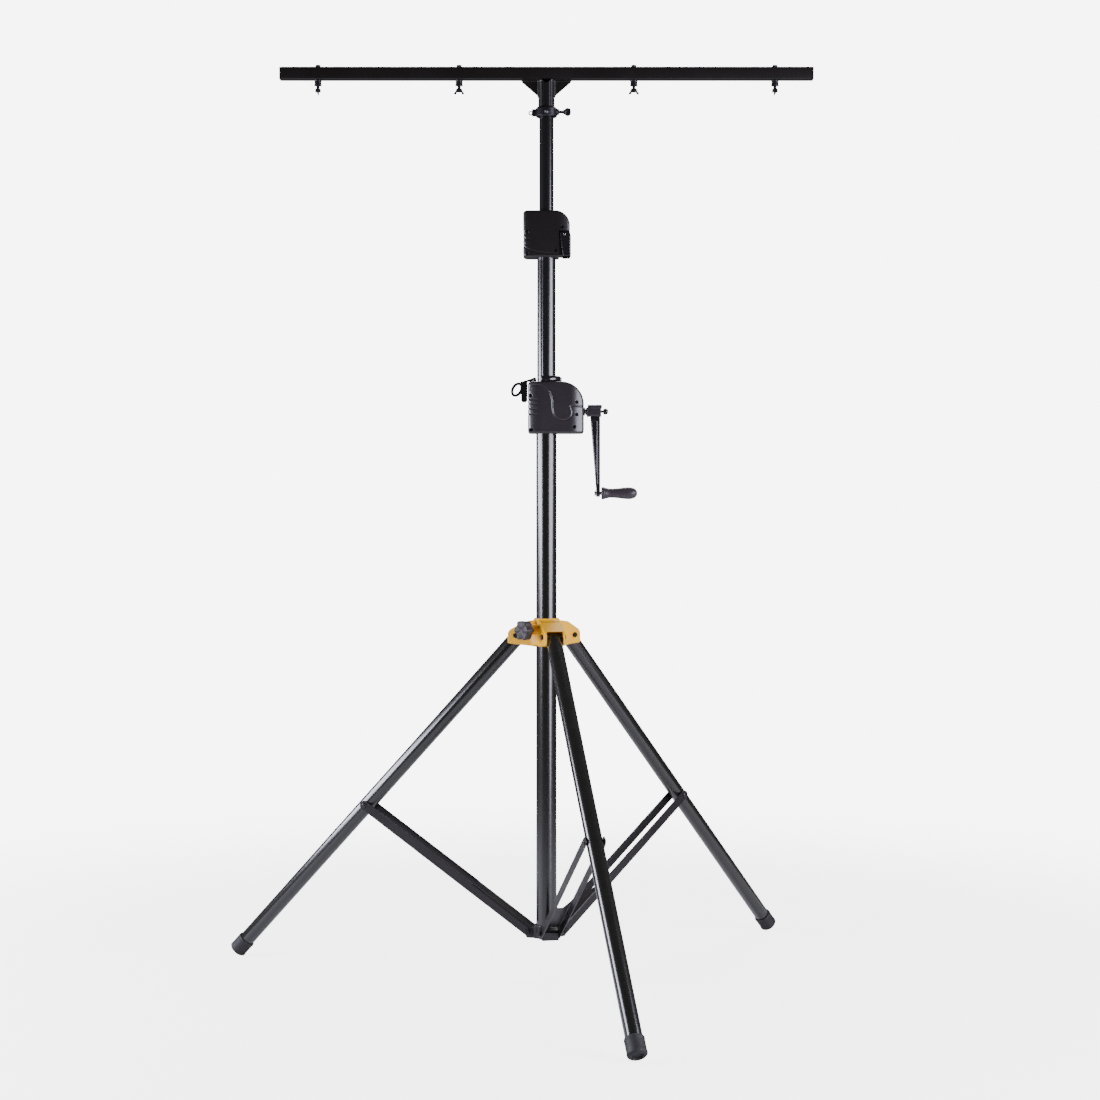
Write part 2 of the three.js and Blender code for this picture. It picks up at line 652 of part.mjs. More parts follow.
// ---- Crank gearing ----------------------------------------------------------------------------------
// A spur gear about Y through the origin, with a tooth pointing along -X or, half a pitch on, a gap there.
function gear(teeth, root, tip, rootHalf, tipHalf, width, firstAngle) {
  const shape = new THREE.Shape();
  const rootAngle = Math.asin(rootHalf / root);
  const tipAngle = Math.asin(tipHalf / tip);
  for (let i = 0; i < teeth; i += 1) {
    const centre = firstAngle + (2 * Math.PI * i) / teeth;
    const flank = [
      [root, -rootAngle],
      [tip, -tipAngle],
      [tip, tipAngle],
      [root, rootAngle],
    ];
    flank.forEach(([r, a], j) => {
      const move = i + j ? "lineTo" : "moveTo";
      shape[move](r * Math.cos(centre + a), r * Math.sin(centre + a));
    });
  }
  const disc = extruded(shape, "y", -width / 2, width / 2);
  const bore = rod(AXLE_DIAMETER / 2 + GAP, "y", -width, width, [0, 0]);
  return less(disc, bore);
}

function rackPinion() {
  const root = pinionRadius - TOOTH_ROOT_DEPTH;
  return gear(PINION_TEETH, root, pinionTip, TOOTH_ROOT_HALF, TOOTH_TIP_HALF, PINION_WIDTH, Math.PI);
}

// The wheel meets the worm under it with a gap between two teeth.
function wormWheel() {
  const root = WHEEL_RADIUS - WHEEL_DEDENDUM;
  const tip = WHEEL_RADIUS + WHEEL_ADDENDUM;
  const first = -Math.PI / 2 + Math.PI / WHEEL_TEETH;
  return gear(WHEEL_TEETH, root, tip, 1.3, 0.6, WHEEL_WIDTH, first);
}

// The worm's thread is a round ridge on a right-hand helix about X; it points up at the wheel's centre.
function crankShaft() {
  const half = (WORM_TURNS * wormPitch) / 2;
  const at = [SHAFT_Y, SHAFT_HEIGHT];
  const core = rod(WORM_CORE, "x", axleX - half - 2, axleX + half + 2, at);
  const shank = rod(shaftRadius, "x", axleX + half + 1.5, HUB_END - 2, at);
  const points = [];
  const steps = WORM_TURNS * 10;
  for (let i = 0; i <= steps; i += 1) {
    const turn = (i / steps - 0.5) * WORM_TURNS;
    const angle = 2 * Math.PI * turn;
    const x = axleX + turn * wormPitch;
    points.push(
      new THREE.Vector3(
        x,
        SHAFT_Y - WORM_THREAD_CENTRE * Math.sin(angle),
        SHAFT_HEIGHT + WORM_THREAD_CENTRE * Math.cos(angle),
      ),
    );
  }
  const section = new THREE.Shape();
  section.absarc(0, 0, WORM_THREAD, 0, 2 * Math.PI, false);
  const path = new THREE.CatmullRomCurve3(points);
  const ridge = new THREE.ExtrudeGeometry(section, { extrudePath: path, steps, curveSegments: 3 });
  return joined(core, shank, solidOf(ridge));
}

function shaftBush() {
  const at = [SHAFT_Y, SHAFT_HEIGHT];
  const sleeve = rod(shaftRadius + 2.7, "x", CRANK_CASE.right - 7, CRANK_CASE.right + GAP + 1, at);
  const flange = rod(shaftRadius + 4, "x", CRANK_CASE.right + GAP, CRANK_CASE.right + 3, at);
  const bore = rod(shaftRadius + HOLE_GAP, "x", 0, HUB_END, at);
  return less(joined(sleeve, flange), bore);
}

function gearAxle() {
  const half = CRANK_CASE.depth / 2 - CRANK_CASE.wall - GAP;
  return rod(AXLE_DIAMETER / 2, "y", -half, half, [axleX, axleZ]);
}

// ---- Crank ------------------------------------------------------------------------------------------
function crankHub() {
  const [y0, y1] = [SHAFT_Y - HUB_DEPTH / 2, SHAFT_Y + HUB_DEPTH / 2];
  const bodyShape = roundedRectangle(
    { left: y0, right: y1, bottom: SHAFT_HEIGHT - HUB_BELOW, top: SHAFT_HEIGHT + HUB_ABOVE },
    { topLeft: 3, topRight: 3, bottomRight: 6, bottomLeft: 6 },
  );
  const body = extruded(bodyShape, "x", HUB_START, HUB_END);
  const plateTop = SHAFT_HEIGHT + HUB_ABOVE + HUB_PLATE;
  const plate = block(HUB_START + 2, HUB_END + 2, y0 - 2, y1 + 2, SHAFT_HEIGHT + HUB_ABOVE - 1, plateTop);
  const neck = rod(9, "x", HUB_START - 2.5, HUB_START + 1, [SHAFT_Y, SHAFT_HEIGHT]);
  const bore = rod(shaftRadius + GAP, "x", HUB_START - 5, HUB_END - 1.5, [SHAFT_Y, SHAFT_HEIGHT]);
  const screwHole = rod(3.2 + HOLE_GAP, "x", HUB_END - 3, HUB_END + 5, [SHAFT_Y, SHAFT_HEIGHT]);
  const tongueTop = SHAFT_HEIGHT - HUB_BELOW + ARM_TONGUE_HEIGHT + GAP;
  const tongueSlot = block(
    ARM_RIGHT - ARM_TOP_WIDTH + 2 - GAP,
    ARM_RIGHT - 2 + GAP,
    SHAFT_Y - ARM_TONGUE / 2 - GAP,
    SHAFT_Y + ARM_TONGUE / 2 + GAP,
    SHAFT_HEIGHT - HUB_BELOW - 1,
    tongueTop,
  );
  return less(joined(body, plate, neck), bore, screwHole, tongueSlot);
}

// The arm tapers in both views: its outline from the front is cut by its outline from the side.
function crankArm() {
  const top = SHAFT_HEIGHT - HUB_BELOW - GAP;
  const end = gripZ - ARM_DEPTH / 2;
  const left = ARM_RIGHT - ARM_TOP_WIDTH;
  const front = extruded(
    outline([
      [ARM_RIGHT - ARM_END_WIDTH, end - 1],
      [ARM_RIGHT, end - 1],
      [ARM_RIGHT, top],
      [left, top],
      [ARM_RIGHT - ARM_END_WIDTH, gripZ + ARM_DEPTH / 2],
    ]),
    "y",
    SHAFT_Y - ARM_DEPTH,
    SHAFT_Y + ARM_DEPTH,
  );
  const sideShape = new THREE.Shape();
  sideShape.absarc(SHAFT_Y, gripZ, ARM_DEPTH / 2, Math.PI, 0, false);
  sideShape.lineTo(SHAFT_Y + ARM_DEPTH / 2, top);
  sideShape.lineTo(SHAFT_Y - ARM_DEPTH / 2, top);
  const side = extruded(sideShape, "x", left - 1, ARM_RIGHT + 1);
  const tongue = block(
    left + 2,
    ARM_RIGHT - 2,
    SHAFT_Y - ARM_TONGUE / 2,
    SHAFT_Y + ARM_TONGUE / 2,
    top - 2,
    top + GAP + ARM_TONGUE_HEIGHT,
  );
  const hole = rod(SPINDLE_DIAMETER / 2 + GAP, "x", left, ARM_RIGHT + 5, [SHAFT_Y, gripZ]);
  return less(joined(front.intersect(side), tongue), hole);
}

// The clamp screw holds the hub on the shaft's end.
function crankClampScrew() {
  const at = [SHAFT_Y, SHAFT_HEIGHT];
  const shank = rod(3.2, "x", HUB_END - 1.7, HUB_END + 7, at);
  const knob = turned(
    [
      [0, HUB_END + 6],
      [5.5, HUB_END + 6],
      [7.5, HUB_END + 9],
      [7.5, HUB_END + 13],
      [4.5, HUB_END + 17],
      [0, HUB_END + 17],
    ],
    12,
  );
  return joined(shank, alongX(knob, at));
}

// Turns a solid made about Z into one about X, its heights becoming x, through y and z in at.
function alongX(solid, at) {
  return solid.rotate([0, 90, 0]).translate([0, at[0], at[1]]);
}

function gripSpindle() {
  const at = [SHAFT_Y, gripZ];
  const armLeft = ARM_RIGHT - ARM_END_WIDTH;
  const shank = rod(SPINDLE_DIAMETER / 2, "x", armLeft - 2, GRIP_END - 22, at);
  const head = rod(6.5, "x", armLeft - 4 - GAP, armLeft - GAP - 0.6, at);
  return joined(shank, head);
}

function crankGrip() {
  const body = turned(
    [
      [0, GRIP_START],
      [13.5, GRIP_START],
      [15.2, GRIP_START + 3],
      [14.8, GRIP_START + 9],
      [12, GRIP_START + 16],
      [11.3, GRIP_START + 24],
      [12.3, GRIP_START + 40],
      [14.2, GRIP_START + 56],
      [14.6, GRIP_START + 68],
      [12.8, GRIP_END - 9],
      [8, GRIP_END - 3],
      [0, GRIP_END],
    ],
    16,
  );
  const bore = rod(SPINDLE_DIAMETER / 2 + HOLE_GAP, "x", 0, GRIP_END - 21, [SHAFT_Y, gripZ]);
  return less(alongX(body, [SHAFT_Y, gripZ]), bore);
}

// ---- Crank housing ----------------------------------------------------------------------------------
function crankHousing() {
  const size = CRANK_CASE;
  const shell = casing(size, CRANK_CASE_CORNERS);
  const saddleOuter = mainRadius + GAP + SADDLE_WALL;
  const saddleTop = size.bottom + size.wall + SADDLE_HEIGHT;
  const saddle = rod(saddleOuter, "z", size.bottom + 1, saddleTop, [0, 0], TUBE_SIDES);
  const innerHalf = size.depth / 2 - size.wall;
  const bossStart = WHEEL_WIDTH / 2 - SHAFT_Y + 3;
  const boss = (y0, y1) => rod(AXLE_DIAMETER / 2 + 4, "y", y0, y1, [axleX, axleZ]);
  const bosses = joined(boss(-innerHalf - 1, -bossStart), boss(bossStart, innerHalf + 1));
  const rib = block(
    axleX + 2.6 * wormPitch,
    axleX + 2.6 * wormPitch + 6,
    -innerHalf - 1,
    SHAFT_Y + 10,
    SHAFT_HEIGHT - 12,
    SHAFT_HEIGHT + 9,
  );
  const at = [SHAFT_Y, SHAFT_HEIGHT];
  const cuts = [
    rod(mainRadius + GAP, "z", size.bottom - 5, MAIN_TOP + GAP, [0, 0], TUBE_SIDES),
    rod(mainRadius + GAP, "z", MAIN_TOP, size.top + 5, [0, 0], TUBE_SIDES),
    rod(AXLE_DIAMETER / 2 + HOLE_GAP, "y", -innerHalf, innerHalf, [axleX, axleZ]),
    rod(shaftRadius + HOLE_GAP, "x", axleX, size.right - 8, at),
    rod(shaftRadius + 3, "x", size.right - 8, size.right + 5, at),
    ...GRIP_GROOVES.map((z) =>
      block(
        size.left - 5,
        size.left + GROOVE_DEPTH,
        -size.depth,
        size.depth,
        z - GROOVE_HEIGHT / 2,
        z + GROOVE_HEIGHT / 2,
      ),
    ),
  ];
  return less(joined(shell, saddle, bosses, rib), ...cuts, leverPinHole());
}

// Two ears on the casing's top carry the lever's pin; the front one is on the front shell.
function leverEar(side) {
  const inner = LEVER_THICKNESS / 2 + GAP;
  const [y0, y1] = side === "front" ? [-inner - 4, -inner] : [inner, inner + 4];
  const shape = new THREE.Shape();
  const { x, z } = LEVER_PIVOT;
  const radius = 5.5;
  shape.moveTo(x - radius, CRANK_CASE.top - CRANK_CASE.wall + 0.5);
  shape.lineTo(x + 3.4, CRANK_CASE.top - CRANK_CASE.wall + 0.5);
  shape.lineTo(x + 3.4, CRANK_CASE.top + 1);
  shape.lineTo(x + radius, z);
  shape.absarc(x, z, radius, 0, Math.PI, false);
  return extruded(shape, "y", y0, y1).subtract(leverPinHole());
}

function leverPinHole() {
  const { x, z } = LEVER_PIVOT;
  return rod(LEVER_PIN / 2 + HOLE_GAP, "y", -15, 15, [x, z]);
}

function leverPin() {
  const { x, z } = LEVER_PIVOT;
  const half = LEVER_THICKNESS / 2 + GAP + 4.5;
  return rod(LEVER_PIN / 2, "y", -half, half, [x, z]);
}

// The lock lever: an eye on the pin, a strap over the casing's corner, a finger ring and a thumb tab.
function lockLever() {
  const { x, z } = LEVER_PIVOT;
  const half = LEVER_THICKNESS / 2;
  const strap = extruded(
    outline([
      [x - 1, z - 4.2],
      [x - 17, z - 5.2],
      [x - 21, z - 12],
      [x - 36, z - 12],
      [x - 34, z - 5],
      [x - 20, z - 1],
      [x - 3, z + 4.5],
      [x + 2, z + 3.5],
    ]),
    "y",
    -half,
    half,
  );
  const eye = rod(5, "y", -half, half, [x, z]);
  const oval = new THREE.Shape();
  oval.absellipse(x - 43, z - 24, 11.5, 17, 0, 2 * Math.PI, false, -0.5);
  const finger = new THREE.Shape();
  finger.absellipse(x - 43, z - 24, 6.5, 12, 0, 2 * Math.PI, false, -0.5);
  const ringSolid = extruded(oval, "y", -half, half);
  const fingerHole = extruded(finger, "y", -half - 1, half + 1);
  const tab = extruded(
    roundedRectangle(
      { left: x - 33, right: x - 17, bottom: z - 55, top: z - 8 },
      { topLeft: 3, topRight: 3, bottomRight: 6, bottomLeft: 6 },
    ),
    "y",
    -half,
    half,
  );
  const solid = joined(less(ringSolid, fingerHole), strap, eye, tab);
  return less(solid, rod(LEVER_PIN / 2 + HOLE_GAP, "y", -half - 1, half + 1, [x, z]));
}

// A sleeve on the main tube's end, under a guide collar that is open on the lever's side.
function guideCollar() {
  const bore = midRadius + SLIDE_GAP;
  const top = CRANK_CASE.top;
  const sleeve = ring(bore, bore + SLEEVE_WALL, MAIN_TOP + GAP, top + 1, TUBE_SIDES);
  const outer = bore + GUIDE_WALL;
  const flange = turned(
    [
      [bore, top + GAP],
      [outer, top + GAP],
      [outer + 3, top + 4],
      [outer + 3, top + 9],
      [outer, top + COLLAR_RISE],
      [bore, top + COLLAR_RISE],
      [bore, top + GAP],
    ],
    TUBE_SIDES,
  );
  const open = block(-outer - 5, -GUIDE_OPENING, -outer - 5, outer + 5, top - 1, top + COLLAR_RISE + 5);
  const openSleeve = block(-outer, -GUIDE_OPENING, -outer, outer, top + GAP, top + 5);
  return joined(less(flange, open), less(sleeve, openSleeve));
}

// ---- Upper housing ----------------------------------------------------------------------------------
function upperHousing() {
  const size = TOP_CASE;
  const shell = casing(size, TOP_CASE_CORNERS);
  const saddle = rod(
    midRadius + GAP + SADDLE_WALL,
    "z",
    size.bottom + 1,
    size.bottom + size.wall + SADDLE_HEIGHT,
    [0, 0],
    TUBE_SIDES,
  );
  const innerHalf = size.depth / 2 - size.wall;
  const plate = GRIP_PLATE;
  const ledge = block(
    size.left + 1,
    plate.left + 1.5,
    -innerHalf - 1,
    innerHalf + 1,
    plate.bottom - 6,
    plate.bottom - 0.5,
  );
  const notch = block(
    TRIGGER_NOTCH.x,
    size.right + 5,
    -size.depth,
    size.depth,
    size.bottom - 5,
    TRIGGER_NOTCH.z,
  );
  const partition = block(
    TRIGGER_NOTCH.x - size.wall,
    TRIGGER_NOTCH.x,
    -innerHalf - 1,
    innerHalf + 1,
    size.bottom + 1,
    TRIGGER_NOTCH.z,
  );
  const lintel = block(
    TRIGGER_NOTCH.x - size.wall,
    size.right - 1,
    -innerHalf - 1,
    innerHalf + 1,
    TRIGGER_NOTCH.z,
    TRIGGER_NOTCH.z + 2,
  );
  const toeOpening = block(0, size.right, -8, 8, MID_TOP + 1, TRIGGER_NOTCH.z + 30);
  const roomHalf = plate.depth / 2 + 2;
  const plateRoom = block(
    plate.left - 1,
    plate.right + 4,
    -roomHalf,
    roomHalf,
    plate.bottom - 0.4,
    plate.bottom + 12,
  );
  const hanger = (y0, y1) =>
    extruded(
      outline([
        [TRIGGER_PIVOT.x - 6, TRIGGER_PIVOT.z - 6],
        [TRIGGER_PIVOT.x + 6, TRIGGER_PIVOT.z - 6],
        [TRIGGER_PIVOT.x + 6, TRIGGER_NOTCH.z + 1],
        [TRIGGER_PIVOT.x - 6, TRIGGER_NOTCH.z + 1],
      ]),
      "y",
      y0,
      y1,
    );
  const hangerEnd = size.depth / 2 - TRIGGER_WALL - 1.5;
  const hangers = joined(hanger(-hangerEnd, -hangerEnd + 5), hanger(hangerEnd - 5, hangerEnd));
  const bore = rod(midRadius + GAP, "z", size.bottom - 5, MID_TOP + 4, [0, 0], TUBE_SIDES);
  const mouth = rod(topRadius + SLIDE_GAP + 0.3, "z", size.bottom, size.top + 5, [0, 0], TUBE_SIDES);
  const pivot = [TRIGGER_PIVOT.x, TRIGGER_PIVOT.z];
  const pinHole = rod(TRIGGER_PIN / 2 + HOLE_GAP, "y", -size.depth, size.depth, pivot);
  const scallops = SCALLOPS.map((z) => rod(7, "y", -size.depth, size.depth, [size.left - 5.5, z]));
  const notched = less(shell, notch);
  const filled = joined(notched, saddle, ledge, less(partition, saddle), less(lintel, plateRoom));
  return less(joined(less(filled, toeOpening), hangers), bore, mouth, pinHole, ...scallops);
}

// The release trigger wraps the housing's corner: a squeeze face, two side walls, a roof and a toe inside.
function releaseTrigger() {
  const half = TOP_CASE.depth / 2 - 0.5;
  const { x, z } = TRIGGER_PIVOT;
  const side = outline([
    [TRIGGER_NOTCH.x + 9, TOP_CASE.bottom + 2],
    [x + 13, TOP_CASE.bottom + 2],
    [x + 15.5, TOP_CASE.bottom + 6],
    [x + 15.5, z - 3],
    [x + 13, z + 7.5],
    [TRIGGER_NOTCH.x + 1, z + 7.5],
  ]);
  const body = extruded(side, "y", -half, half);
  const hollow = extruded(
    outline([
      [TRIGGER_NOTCH.x - 5, TOP_CASE.bottom - 5],
      [x + 10, TOP_CASE.bottom - 5],
      [x + 12.5, z - 3],
      [x + 10.5, z + 15],
      [TRIGGER_NOTCH.x - 5, z + 15],
    ]),
    "y",
    -half + TRIGGER_WALL,
    half - TRIGGER_WALL,
  );
  const toe = extruded(
    outline([
      [TOE_TIP, TOE_TOP - 4],
      [x - 5, z - 3],
      [x + 14, z - 6],
      [x + 14, z + 2],
      [x, z + 4.5],
      [x - 8, TOE_TOP - 3],
      [TOE_TIP + 6, TOE_TOP],
      [TOE_TIP, TOE_TOP],
    ]),
    "y",
    -5,
    5,
  );
  const hole = rod(TRIGGER_PIN / 2 + HOLE_GAP, "y", -half - 1, half + 1, [x, z]);
  return less(joined(less(body, hollow), toe), hole);
}

function triggerPin() {
  const half = TOP_CASE.depth / 2;
  return rod(TRIGGER_PIN / 2, "y", -half, half, [TRIGGER_PIVOT.x, TRIGGER_PIVOT.z]);
}

function gripPlate() {
  const plate = GRIP_PLATE;
  const slab = block(
    plate.left,
    plate.right,
    -plate.depth / 2,
    plate.depth / 2,
    plate.bottom,
    plate.bottom + plate.thickness,
  );
  return less(slab, rod(topRadius + SLIDE_GAP, "z", plate.bottom - 5, plate.bottom + 15, [0, 0], TUBE_SIDES));
}

function lockSpring() {
  const bottom = GRIP_PLATE.bottom + GRIP_PLATE.thickness + GAP + SPRING_WIRE / 2;
  const top = TOP_CASE.top - TOP_CASE.wall - SPRING_TRAVEL - SPRING_WIRE / 2;
  const radius = topRadius + SLIDE_GAP + 0.5 + SPRING_WIRE;
  const steps = SPRING_TURNS * 10;
  const points = [];
  for (let i = 0; i <= steps; i += 1) {
    const angle = (2 * Math.PI * SPRING_TURNS * i) / steps;
    const z = bottom + ((top - bottom) * i) / steps;
    points.push(new THREE.Vector3(radius * Math.cos(angle), radius * Math.sin(angle), z));
  }
  const section = new THREE.Shape();
  section.absarc(0, 0, SPRING_WIRE / 2, 0, 2 * Math.PI, false);
  const path = new THREE.CatmullRomCurve3(points);
  return solidOf(new THREE.ExtrudeGeometry(section, { extrudePath: path, steps, curveSegments: 3 }));
}

// ---- Crossbar, its socket and the lamp bolts ----------------------------------------------------------
function crossbar() {
  const half = BAR_LENGTH / 2 - PLUG_FLANGE - GAP;
  const outer = block(-half, half, -BAR_SIZE / 2, BAR_SIZE / 2, BAR_BOTTOM, BAR_BOTTOM + BAR_SIZE);
  const inner = block(
    -half - 1,
    half + 1,
    -BAR_SIZE / 2 + BAR_WALL,
    BAR_SIZE / 2 - BAR_WALL,
    BAR_BOTTOM + BAR_WALL,
    BAR_BOTTOM + BAR_SIZE - BAR_WALL,
  );
  const holes = LAMP_POSITIONS.map((x) =>
    rod(LAMP_BOLT / 2 + HOLE_GAP, "z", BAR_BOTTOM - 1, BAR_BOTTOM + BAR_SIZE + 1, [x, 0], 8),
  );
  return less(outer, inner, ...holes);
}

function crossbarPlug(side) {
  const half = BAR_LENGTH / 2;
  const middle = BAR_BOTTOM + BAR_SIZE / 2;
  const inner = BAR_SIZE / 2 - BAR_WALL - GAP;
  const flange = block(
    half - PLUG_FLANGE,
    half,
    -BAR_SIZE / 2,
    BAR_SIZE / 2,
    middle - BAR_SIZE / 2,
    middle + BAR_SIZE / 2,
  );
  const spigot = block(half - PLUG_DEPTH, half - 1, -inner, inner, middle - inner, middle + inner);
  const plug = joined(flange, spigot);
  return side > 0 ? plug : plug.rotate([0, 0, 180]);
}

function barSocket() {
  const bore = topRadius + SLIDE_GAP;
  const top = BAR_BOTTOM - GAP;
  const sleeve = rod(socketRadius, "z", SOCKET_BOTTOM, top, [0, 0], TUBE_SIDES);
  const gusset = extruded(
    outline([
      [-socketRadius + 2, GUSSET_BOTTOM],
      [socketRadius - 2, GUSSET_BOTTOM],
      [GUSSET_HALF, top - SOCKET_SADDLE],
      [GUSSET_HALF, top],
      [-GUSSET_HALF, top],
      [-GUSSET_HALF, top - SOCKET_SADDLE],
    ]),
    "y",
    -GUSSET_THICKNESS / 2,
    GUSSET_THICKNESS / 2,
  );
  const saddle = block(-GUSSET_HALF, GUSSET_HALF, -BAR_SIZE / 2, BAR_SIZE / 2, top - SOCKET_SADDLE, top);
  const hole = rod(bore, "z", SOCKET_BOTTOM - 1, top - 4, [0, 0], TUBE_SIDES);
  const screwHole = rod(THUMB_SCREW.diameter / 2 + HOLE_GAP, "x", 5, 40, [0, THUMB_SCREW.z]);
  return less(joined(sleeve, gusset, saddle), hole, screwHole);
}

// A split collar round the socket's foot, with two ears, a clip ring and a threaded hole for the screw.
function socketClamp() {
  const inner = socketRadius + SLIDE_GAP;
  const outer = inner + CLAMP_WALL;
  const band = turned(
    [
      [inner, CLAMP_BOTTOM],
      [outer - 2, CLAMP_BOTTOM],
      [outer, CLAMP_BOTTOM + 3],
      [outer, CLAMP_TOP - 5],
      [outer - 4, CLAMP_TOP],
      [inner, CLAMP_TOP],
      [inner, CLAMP_BOTTOM],
    ],
    TUBE_SIDES,
  );
  const ears = block(CLAMP_EAR_END, -inner - 1, -8, 8, CLAMP_BOTTOM + 3, CLAMP_TOP - 6);
  const slitHalf = CLAMP_SLIT / 2;
  const slit = block(CLAMP_EAR_END - 1, -inner + 2, -slitHalf, slitHalf, CLAMP_BOTTOM - 1, CLAMP_TOP + 1);
  const { x, z, radius, wire } = CLIP_RING;
  const ringProfile = [];
  for (let i = 0; i <= 6; i += 1) {
    const angle = (2 * Math.PI * i) / 6;
    ringProfile.push([radius + wire * Math.cos(angle), wire * Math.sin(angle)]);
  }
  const clip = turned(ringProfile, 10).rotate([90, 0, 0]).translate([x, 5, z]);
  const screwHole = rod(THUMB_SCREW.diameter / 2 + HOLE_GAP, "x", 5, 40, [0, THUMB_SCREW.z]);
  return less(joined(band, ears, clip), slit, screwHole);
}

function clampScrew() {
  const { diameter, z, paddleStart, end, paddleHeight } = THUMB_SCREW;
  const shank = rod(diameter / 2, "x", topRadius + GAP, paddleStart + 2, [0, z]);
  const half = paddleHeight / 2;
  const paddle = extruded(
    outline([
      [paddleStart, z - 4],
      [paddleStart + 6, z - half],
      [end - 2, z - half],
      [end, z - half + 2],
      [end, z + half - 2],
      [end - 2, z + half],
      [paddleStart + 6, z + half],
      [paddleStart, z + 4],
    ]),
    "y",
    -3,
    3,
  );
  return joined(shank, paddle);
}

// A lamp bolt with its hexagon head on the bar and its spacer under it.
function lampBolt(x) {
  const radius = LAMP_BOLT / 2;
  const barTop = BAR_BOTTOM + BAR_SIZE + GAP;
  const shank = rod(radius, "z", BAR_BOTTOM - LAMP_BOLT_BELOW, barTop + 1, [x, 0], 8);
  const head = rod(BOLT_HEAD / 2 + 0.5, "z", barTop, barTop + LAMP_HEAD_HEIGHT, [x, 0], 6);
  const spacerTop = BAR_BOTTOM - GAP;
  const spacer = rod(SPACER_DIAMETER / 2, "z", spacerTop - SPACER_HEIGHT, spacerTop, [x, 0], 12);
  return joined(shank, head, spacer);
}

// A wing nut under the spacer. turn is the direction of its wings, in degrees.
function wingNut(x, turn) {
  const top = BAR_BOTTOM - GAP - SPACER_HEIGHT - NUT_DROP;
  const body = rod(NUT_DIAMETER / 2, "z", top - NUT_HEIGHT, top, [0, 0]);
  const half = WING_SPAN / 2;
  const wings = extruded(
    outline([
      [-half, top - NUT_HEIGHT - WING_DROP],
      [-half + 6, top - NUT_HEIGHT - WING_DROP],
      [-5, top - NUT_HEIGHT],
      [5, top - NUT_HEIGHT],
      [half - 6, top - NUT_HEIGHT - WING_DROP],
      [half, top - NUT_HEIGHT - WING_DROP],
      [NUT_DIAMETER / 2 - 1, top - 2],
      [-NUT_DIAMETER / 2 + 1, top - 2],
    ]),
    "y",
    -WING_THICKNESS / 2,
    WING_THICKNESS / 2,
  );
  const bore = rod(LAMP_BOLT / 2 + GAP, "z", top - 30, top + 5, [0, 0]);
  return less(joined(body, wings), bore).rotate([0, 0, turn]).translate([x, 0, 0]);
}

// ---- Assembly ---------------------------------------------------------------------------------------
addPart(stand, "main_tube", mainTube(), blackCoat);
addPart(stand, "base_bracket", baseBracket(), blackCoat);
addPart(stand, "leg_collar", legCollar(), yellowPlastic);

const knobGroup = addGroup(stand, 0, 0, KNOB_HEIGHT);
knobGroup.rotation.z = rad(KNOB_AZIMUTH);
addPart(knobGroup, "collar_stud", collarStud(), zinc);
addPart(knobGroup, "collar_knob", collarKnob(), rubber);

for (const [name, azimuth] of Object.entries(LEG_AZIMUTHS)) {
  const spoke = addGroup(stand, 0, 0, 0);
  spoke.rotation.z = rad(azimuth);
  const hinge = addGroup(spoke, LEG_HINGE_RADIUS, 0, legHingeHeight);
  addPart(hinge, `leg_hinge_bolt_${name}`, crossBolt(clevisOuter), zinc);
  const leg = addGroup(hinge, 0, 0, 0);
  leg.rotation.y = -tilt;
  addPart(leg, `leg_tube_${name}`, legTube(), blackCoat);
  addPart(leg, `foot_cap_${name}`, footCap(), rubber);
  const foot = addGroup(spoke, BRACE_FOOT_RADIUS, 0, BRACE_FOOT_HEIGHT);
  addPart(foot, `brace_pin_${name}`, crossBolt(braceOuter), zinc);
  const strut = addGroup(foot, 0, 0, 0);
  strut.rotation.y = braceTilt;
  addPart(strut, `brace_${name}`, brace(), blackCoat);
}

const midBushRadius = (mainRadius - MAIN_WALL) * Math.cos(Math.PI / TUBE_SIDES) - 0.2;
const topBushRadius = rackBack - 0.2;
addPart(stand, "mast_tube_mid", midTube(), blackCoat);
addPart(stand, "mid_foot_bush", footBush(midBushRadius, rackBack - GAP, 14, MID_BOTTOM), acetal);
addPart(stand, "mouth_bush", mouthBush(), acetal);
addPart(stand, "mast_tube_top", topTube(), blackCoat);
addPart(stand, "top_foot_bush", footBush(topBushRadius, topRadius - TOP_WALL - GAP, 10, TOP_BOTTOM), acetal);

const crankCase = crankHousing();
const crankFront = joined(halfOf(crankCase, CRANK_CASE, "front"), leverEar("front"));
const crankRear = joined(halfOf(crankCase, CRANK_CASE, "rear"), leverEar("rear"));
addPart(stand, "crank_housing_front", crankFront, blackPlastic);
addPart(stand, "crank_housing_rear", crankRear, blackPlastic);
addPart(stand, "guide_collar", guideCollar(), blackPlastic);
addPart(stand, "lock_lever", lockLever(), blackPlastic);
addPart(stand, "lock_lever_pin", leverPin(), zinc);
addPart(stand, "crank_shaft", crankShaft(), darkSteel);
addPart(stand, "shaft_bush", shaftBush(), bronze);
addPart(stand, "gear_axle", gearAxle(), darkSteel);
addPart(addGroup(stand, axleX, SHAFT_Y, axleZ), "worm_wheel", wormWheel(), bronze);
addPart(addGroup(stand, axleX, 0, axleZ), "rack_pinion", rackPinion(), darkSteel);
addPart(stand, "crank_hub", crankHub(), blackCoat);
addPart(stand, "crank_arm", crankArm(), blackCoat);
addPart(stand, "crank_clamp_screw", crankClampScrew(), blackCoat);
addPart(stand, "grip_spindle", gripSpindle(), darkSteel);
addPart(stand, "crank_grip", crankGrip(), darkGrip);

